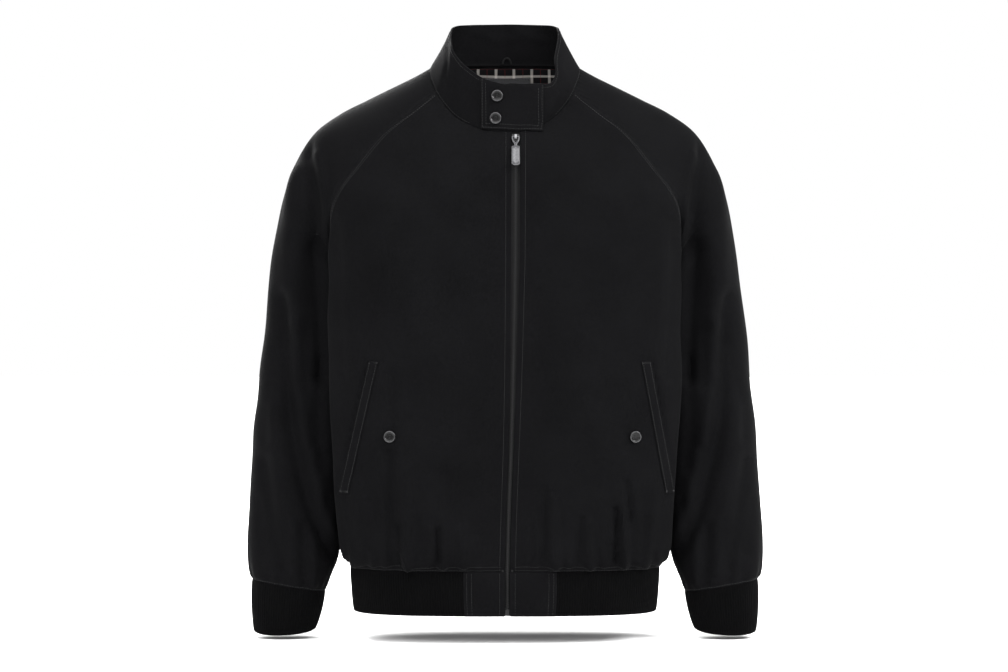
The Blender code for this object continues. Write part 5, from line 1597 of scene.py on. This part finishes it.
# the pull's outline: its head as distance down and half width, its foot as distance up from the
# end and how much narrower than half the width, and the gap between its two arms
pullHead = ((-0.9, 4.3), (-0.5, 4.8), (3.0, 4.85), (5.4, 4.5), (7.5, 3.8), (9.2, 2.9), (10.6, 2.0),
            (12.0, 1.6),
            (14.0, 1.6), (14.6, 2.3), (15.0, 4.0), (15.8, 5.1))
pullFoot = ((2.6, 0.0), (1.4, 0.5), (0.5, 1.6), (0.0, 3.2))
pullWindow = ((0.65, 3.5), (3.0, 3.5), (5.2, 3.2), (6.9, 2.6), (8.2, 1.5), (9.0, 0.0))
sliderSizes = {"bevel": 0.22, "bridgeFrom": 0.45}
toothSizes = {"Pitch": 0.0015, "Width": 0.0038, "Height": 0.00105, "Depth": 0.0023, "Offset": 0.00085}


def frontFacing(down):
    return unit(np.cross(unit(down), np.array([1.0, 0.0, 0.0])))


def zipLine():
    middle = (skins["front"][-1][:, 0] + skins["front"][1][:, 0]) / 2
    seam = middle[-1]
    band = []
    for share in np.linspace(0, 1, 18)[1:]:
        z = waistLevel + (hemLevel - waistLevel) * share
        y = seam[1] * np.interp(share, [0.0] + [r[0] for r in bandRows], [1.0] + [r[1] for r in bandRows])
        band.append((zipAt(z)[0], y, z))
    return resampled(np.concatenate([middle, np.array(band)]), zipSizes["step"] / 2)


def stretchOf(points, start, end):
    at = knotsOf(points)
    places = np.linspace(start, end, int((end - start) / zipSizes["step"]) + 2)
    found = np.stack([np.interp(places, at, points[:, k]) for k in range(3)], -1)
    return found, frontFacing(np.gradient(found, axis=0))


def makeZip():
    s = zipSizes
    line = zipLine()
    total = knotsOf(line)[-1]
    points, normals = stretchOf(line, s["endTop"], total - s["endHem"])
    depth = s["bandThick"] + s["clear"]
    for side, name in ((-1, "right"), (1, "left")):
        across = np.linspace(s["tapeNear"], s["tapeFar"], 8) * side
        grid = points[:,
                      None] + np.array([1.0, 0.0, 0.0]) * across[None, :, None] - normals[:, None] * depth
        gridNormals = np.broadcast_to(normals[:, None], grid.shape).copy()
        obj = shell("zipTape" + name.title(), grid, gridNormals, s["tapePly"], side,
                    (looks["tapeCloth"],) * 2)
        keep(obj, "jacket", "tape", "zip_tape_" + name)
    stretch, normals = stretchOf(line, s["sliderTop"] + s["sliderLength"] + s["clear"],
                                 total - s["boxLength"] - s["clear"])
    chain = pathObject("zipTeeth", [stretch - normals * (clothWall + s["chainDepth"] / 2)])
    grown(chain, trees["teeth"], {**toothSizes, "Material": looks["blackTeeth"]})
    keep(chain, "jacket", "teeth", "zip_chain")
    makePull(line)


def makePull(line):
    p = pullSizes
    at = knotsOf(line)
    top = zipSizes["sliderTop"]
    origin, foot = [np.array([np.interp(place, at, line[:, k]) for k in range(3)])
                    for place in (top, top + zipSizes["sliderLength"])]
    down = unit(foot - origin)
    normal = frontFacing(down)
    panels["slider"] = {"origin": origin, "normal": normal}
    joint = next(j for j in frame["joints"] if j["name"] == "zip_pull_hinge")
    pin = np.array(joint["pos_m"]) * 1000
    tilt = math.radians(p["tilt"])
    hang = down * math.cos(tilt) + normal * math.sin(tilt)
    face = frontFacing(hang)
    side = list(pullHead) + [(p["length"] - up, p["width"] / 2 - short) for up, short in pullFoot]
    outline = side + [(along, -across) for along, across in side[::-1]]
    window = list(pullWindow) + [(along, -across) for along, across in pullWindow[-2::-1]]

    def plate(shape, near, far):
        points = [pin + hang * along + face * out + np.array([across, 0, 0]) for out in (near, far)
                  for along, across in shape]
        count = len(shape)
        faces = [tuple(range(count)), tuple(range(2 * count - 1, count - 1, -1))]
        return points, faces + [(k, k + count, (k + 1) % count + count, (k + 1) % count)
                                for k in range(count)]

    pull = joinedMesh("zipPull", [plate(outline, -p["depth"] / 2, p["depth"] / 2)], [looks["steel"]])
    hole = joinedMesh("pullWindow", [plate(window, -3.0, 3.0)])
    addCut(pull, hole)
    addBevel(pull, p["bevel"])
    flattened(pull)
    bpy.data.objects.remove(hole, do_unlink=True)
    ridges = []
    for k in range(p["ridges"]):
        x = (k - (p["ridges"] - 1) / 2) * p["width"] * 0.155
        short = 1.6 * abs(k - (p["ridges"] - 1) / 2)
        for way in (-1, 1):
            start, end, half = p["ridgeFrom"] + short * 0.4, p["ridgeTo"] - short, p["ridgeWide"] / 2
            shape = [(start, x - half), (end, x - half), (end, x + half), (start, x + half)]
            ridges.append(plate(shape, way * (p["depth"] / 2 - 0.2),
                                way * (p["depth"] / 2 + p["ridgeHigh"])))
    pull.data.materials.append(looks["steelFace"])
    for polygon in pull.data.polygons:
        if abs(float(np.array(polygon.normal) @ face)) > 0.95:
            polygon.material_index = 1
    bars = joinedMesh("pullRidges", ridges, [looks["steel"]])
    work = bmesh.new()
    work.from_mesh(pull.data)
    work.from_mesh(bars.data)
    work.to_mesh(pull.data)
    work.free()
    bpy.data.objects.remove(bars, do_unlink=True)
    pull.data.shade_smooth()
    crispEdges(pull.data, 32)
    keep(pull, "zip_pull", "metal", "zip_pull")


def makeSlider():
    # the plates are dark, the bridge that the pull hangs from is bright
    source = frame["nodes"]["zip_slider"]
    work = bmesh.new()
    work.from_mesh(source.data)
    work.transform(source.matrix_world)
    bmesh.ops.remove_doubles(work, verts=work.verts, dist=0.02 * mm)
    bmesh.ops.dissolve_limit(work, angle_limit=math.radians(2), verts=work.verts, edges=work.edges)
    mesh = bpy.data.meshes.new("zipSlider")
    work.to_mesh(mesh)
    work.free()
    for look in (looks["blackTeeth"], looks["steel"]):
        mesh.materials.append(look)
    obj = linked("zipSlider", mesh)
    addBevel(obj, sliderSizes["bevel"])
    flattened(obj)
    plate = panels["slider"]
    for polygon in obj.data.polygons:
        out = float((np.array(polygon.center) / mm - plate["origin"]) @ plate["normal"])
        polygon.material_index = 1 if out > sliderSizes["bridgeFrom"] else 0
    obj.data.shade_smooth()
    crispEdges(obj.data, 32)
    keep(obj, "jacket", "metal", "zip_slider")


makeZip()
makeSlider()
print("zip")

neckInside = {"rows": 2, "ply": 0.6, "trim": 4.0, "clear": 0.3}
labelSizes = {"xRight": -31.0, "xLeft": 33.0, "zTop": -6.6, "zBottom": -38.0, "ply": 0.8, "clear": 0.3,
              "across": 34,
              "down": 18}
loopSizes = {"x": 2.5, "width": 11.0, "rise": 8.0, "thick": 1.0, "tape": 2.4, "offSeam": 1.2,
             "offCloth": 1.2,
             "steps": 40, "sides": 12}


def makeLining():
    s = neckInside
    rows = int(sum(skins["parts"][:s["rows"]])) + 1
    half = fineness["acrossHalfSleeve"]
    right, left, back = [panels[name][0][:rows] for name in ("sleeve_right", "sleeve_left", "back")]
    grid = np.concatenate([right[:, half:-1], back, left[:, half:][:, ::-1][:, 1:]], axis=1)
    normals = normalsOf(grid, -1)
    for _ in range(3):
        normals[:, 1:-1] = unit(normals[:, :-2] + 2 * normals[:, 1:-1] + normals[:, 2:])
    cut = grid.copy()
    down = -lengthsOver(grid)[..., 1]
    # the top edge lies a little below the neck seam
    for column in range(grid.shape[1]):
        at = down[:, column]
        places = np.linspace(s["trim"], at[-1], rows)
        for k in range(3):
            cut[:, column, k] = np.interp(places, at, grid[:, column, k])
    obj = shell("neckLining", cut, normals, s["ply"], -1, (looks["inside"], looks["check"]),
                lift=-(clothWall + s["clear"]))
    keep(obj, "jacket", "lining", "back_lining")
    return cut - normals * (clothWall + s["clear"] + s["ply"])


def makeLabel(lining):
    s = labelSizes
    tree = treeOf(lining)
    x = np.linspace(s["xRight"], s["xLeft"], s["across"])[None, :]
    z = np.linspace(s["zTop"], s["zBottom"], s["down"])[:, None]
    grid = softened(castGrid(tree, x + 0 * z, z + 0 * x, start=0.0), 2)
    normals = normalsOf(grid, 1)
    obj = shell("neckLabel", grid, normals, s["ply"], 1, (looks["satin"], looks["satin"]),
                edge=sewnEdge(grid),
                lift=s["clear"] + s["ply"])
    keep(obj, "jacket", "label", "neck_label")
    panels["label"] = (grid + normals * (s["clear"] + s["ply"]), normals)


def makeLoop():
    s = loopSizes
    middle = int(np.argmax(collar[-1, :, 1]))
    foot, head = collar[-1, middle], collar[0, middle]
    up = unit(head - foot)
    inward = unit(np.cross(np.array([1.0, 0.0, 0.0]), up))
    centre = np.array([s["x"], foot[1],
                       foot[2]]) + up * s["offSeam"] + inward * (collarSizes["thick"] + s["offCloth"])
    rings, count = [], s["sides"]
    for turn in np.linspace(0, math.pi, s["steps"]):
        out = np.array([math.cos(turn), 0, 0]) * s["width"] / 2 + up * math.sin(turn) * s["rise"]
        ring = []
        for k in range(count):
            angle = 2 * math.pi * k / count
            wide, deep = math.cos(angle), math.sin(angle)
            wide = math.copysign(abs(wide) ** 0.5, wide) * s["tape"] / 2
            deep = (math.copysign(abs(deep) ** 0.5, deep) + 1) * s["thick"] / 2
            ring.append(centre + out + unit(out) * wide + inward * deep)
        rings.append(ring)
    points = [point for ring in rings for point in ring]
    faces = [tuple(range(count)), tuple(range(len(points) - 1, len(points) - 1 - count, -1))]
    for r in range(len(rings) - 1):
        for k in range(count):
            a, b = r * count + k, r * count + (k + 1) % count
            faces.append((a, b, b + count, a + count))
    obj = plainMesh("hangerLoop", points, faces, [looks["tapeCloth"]])
    crispEdges(obj.data, 60)
    uvFromLength(obj)
    keep(obj, "jacket", "cloth", "hanger_loop")


def uvFromLength(obj):
    # a map of the weave from the place of each corner, for pieces without a grid
    mesh = obj.data
    layer = mesh.uv_layers.new(name="weave")
    for polygon in mesh.polygons:
        for index in polygon.loop_indices:
            place = mesh.vertices[mesh.loops[index].vertex_index].co
            layer.data[index].uv = (place.x * 10, place.z * 10)


makeLabel(makeLining())
makeLoop()
print("inside of the neck")

stitchSizes = {"length": 2.5, "gap": 0.9, "thread": 0.55, "off": 0.18}
stitchRows = {"zip": (6.4,), "raglan": (5.5, 8.5), "waist": (2.2, 7.4), "neck": (2.5,),
              "panelEdge": (4.0, 10.0),
              "cuff": (2.2,), "collarTop": (4.5,), "collarFoot": (2.5,), "tab": (1.6, 6.4), "welt": (1.4,)}


def rowAt(grid, normals, side, distance, trim=0.0):
    # a line on the cloth that runs at a distance from one side of its grid
    if side in ("top", "bottom"):
        grid, normals = np.swapaxes(grid, 0, 1), np.swapaxes(normals, 0, 1)
        side = "first" if side == "top" else "last"
    if side == "last":
        grid, normals = grid[:, ::-1], normals[:, ::-1]
    steps = np.linalg.norm(np.diff(grid[:, :12], axis=1), axis=-1) if distance < 20 else \
        np.linalg.norm(np.diff(grid, axis=1), axis=-1)
    at = np.concatenate([np.zeros((len(grid), 1)), np.cumsum(steps, axis=1)], 1)
    lifted = grid + normals * stitchSizes["off"]
    line = np.array([[np.interp(distance, at[r], lifted[r, :at.shape[1], k]) for k in range(3)]
                     for r in range(len(grid))])
    if trim:
        along = knotsOf(line)
        line = line[(along > trim) & (along < along[-1] - trim)]
    return line


def makeStitches():
    s, rows = stitchSizes, stitchRows
    paths = []
    shared = underarm + 1
    for name in ("right", "left"):
        grid, normals = panels["front_" + name]
        paths += [rowAt(grid, normals, "first", d, 2.0) for d in rows["zip"]]
        paths += [rowAt(grid[:shared], normals[:shared], "last", d, 3.0) for d in rows["raglan"]]
        paths += [rowAt(grid, normals, "bottom", d, 6.0) for d in rows["waist"]]
        grid, normals = panels["sleeve_" + name]
        paths += [rowAt(grid[shared:], normals[shared:], "bottom", d) for d in rows["cuff"]]
        grid, normals = panels["waist_" + name]
        paths += [rowAt(grid, normals, "first", d, 1.5) for d in rows["zip"]]
        paths += [rowAt(grid, normals, "last", d, 1.5) for d in rows["panelEdge"]]
        grid, normals = panels["welt_" + name]
        paths += [rowAt(grid, normals, side, d, 1.0) for side in ("first", "last") for d in rows["welt"]]
    grid, normals = panels["back"]
    paths += [rowAt(grid[:shared], normals[:shared], side, d, 3.0) for side in ("first", "last")
              for d in rows["raglan"]]
    paths += [rowAt(grid, normals, "bottom", d, 6.0) for d in rows["waist"]]
    grid, normals = panels["collar"]
    paths += [rowAt(grid, normals, "top", d, 4.0) for d in rows["collarTop"]]
    paths += [rowAt(grid[:, 26:-26], normals[:, 26:-26], "bottom", d, 2.0) for d in rows["collarFoot"]]
    grid, normals = panels["tab"]
    for side in ("first", "bottom", "last"):
        paths += [rowAt(grid, normals, side, d, d) for d in rows["tab"]]
    grid, normals = panels["label"]
    paths += [rowAt(grid, normals, side, 1.2, 1.2) for side in ("first", "last", "top", "bottom")]
    obj = pathObject("topStitching", paths)
    grown(obj, trees["stitch"],
          {"Stitch Length": s["length"] * mm, "Gap": s["gap"] * mm, "Thread": s["thread"] * mm,
                                 "Seed": 7, "Material": looks["thread"]})
    obj.data.shade_smooth()
    uvFromLength(obj)
    keep(obj, "jacket", "cloth")


tackSizes = {"wide": 2.4, "step": 0.5, "thread": 0.6, "off": 0.25}


def tack(start, end, normal):
    # a close zigzag between two points on the cloth
    along = end - start
    length = np.linalg.norm(along)
    across = unit(np.cross(normal, along))
    turns = max(4, int(length / tackSizes["step"]))
    return [start + along * k / turns + across * tackSizes["wide"] / 2 * (1 if k % 2 else -1) + normal
            * tackSizes["off"]
            for k in range(turns + 1)]


def makeTacks():
    paths = list(threads)
    for name in ("right", "left"):
        grid, normals = panels["welt_" + name]
        for row in (1, -2):
            paths.append(tack(grid[row, 0], grid[row, -1], normals[row, 3]))
        grid, normals = panels["front_" + name]
        foot = rowAt(grid, normals, "first", 2.6)
        paths.append(tack(foot[-1], foot[-3], normals[-2, 1]))
    obj = pathObject("barTacks", paths)
    grown(obj, trees["thread"],
          {"Thread": tackSizes["thread"] * mm, "Sides": 5, "Material": looks["thread"]})
    obj.data.shade_smooth()
    uvFromLength(obj)
    keep(obj, "jacket", "cloth")


makeStitches()
makeTacks()
print("stitching")

# the box at the zip's foot stays from the CAD and gets its finish
for slot in frame["nodes"]["zip_box"].material_slots:
    slot.material = looks["blackTeeth"]

room = {"floor": -0.7385, "half": 22.0, "paper": ((0.93, 0.93, 0.93), (0.95, 0.95, 0.95))}


def makeRoom():
    look, nodes, links, shader = startLook("paper")
    place = nodes.new("ShaderNodeTexCoord").outputs["Object"]
    grain = noiseNode(nodes, links, place, 40.0)
    links.new(blendColours(nodes, links, grain, *room["paper"]), shader.inputs["Base Color"])
    shader.inputs["Roughness"].default_value = 0.9
    shader.inputs["Specular IOR Level"].default_value = 0.0
    half = room["half"]
    mesh = bpy.data.meshes.new("paperFloor")
    mesh.from_pydata([(x, y, room["floor"]) for x,
                      y in ((-half, -half), (half, -half), (half, half), (-half, half))],
                     [], [(0, 1, 2, 3)])
    mesh.materials.append(look)
    obj = linked("paperFloor", mesh)


lights = {
    "key": {"place": (2.9, -1.5, 1.8), "size": 1.4, "power": 150.0},
    "fill": {"place": (-2.6, -2.4, 0.9), "size": 1.8, "power": 20.0},
    "back": {"place": (-1.2, 2.6, 1.6), "size": 1.8, "power": 210.0},
}
aimAt = (0.0, 0.0, -0.35)
sky = {"fromAbove": 4.6, "tilt": 30.0, "soft": 80.0, "room": 1.0}


def makeLights():
    for name, s in lights.items():
        data = bpy.data.lights.new(name, "AREA")
        data.shape = "SQUARE"
        data.size = s["size"]
        data.energy = s["power"]
        obj = linked(name, data)
        obj.location = s["place"]
        obj.rotation_euler = (Vector(aimAt) - Vector(s["place"])).to_track_quat("-Z", "Y").to_euler()
    data = bpy.data.lights.new("ceiling", "SUN")
    data.energy = sky["fromAbove"]
    data.angle = math.radians(sky["soft"])
    obj = linked("ceiling", data)
    obj.rotation_euler = (math.radians(sky["tilt"]), 0.0, 0.0)
    world = bpy.data.worlds.new("studio")
    bpy.context.scene.world = world
    world.use_nodes = True
    shade = world.node_tree.nodes["Background"].inputs
    shade[0].default_value = (1.0, 1.0, 1.0, 1.0)
    shade[1].default_value = sky["room"]


camera = {"sensor": 36.0, "lens": 96.15}


def makeCamera():
    data = bpy.data.cameras.new("camera")
    data.sensor_width = camera["sensor"]
    data.lens = camera["lens"]
    obj = linked("camera", data)
    obj.location = (viewFrom["x"] * mm, -viewFrom["distance"] * mm, viewFrom["z"] * mm)
    obj.rotation_euler = (math.pi / 2, 0.0, 0.0)
    bpy.context.scene.camera = obj


makeRoom()
makeLights()
makeCamera()
bpy.context.scene.view_settings.view_transform = "Standard"

bpy.context.view_layer.update()
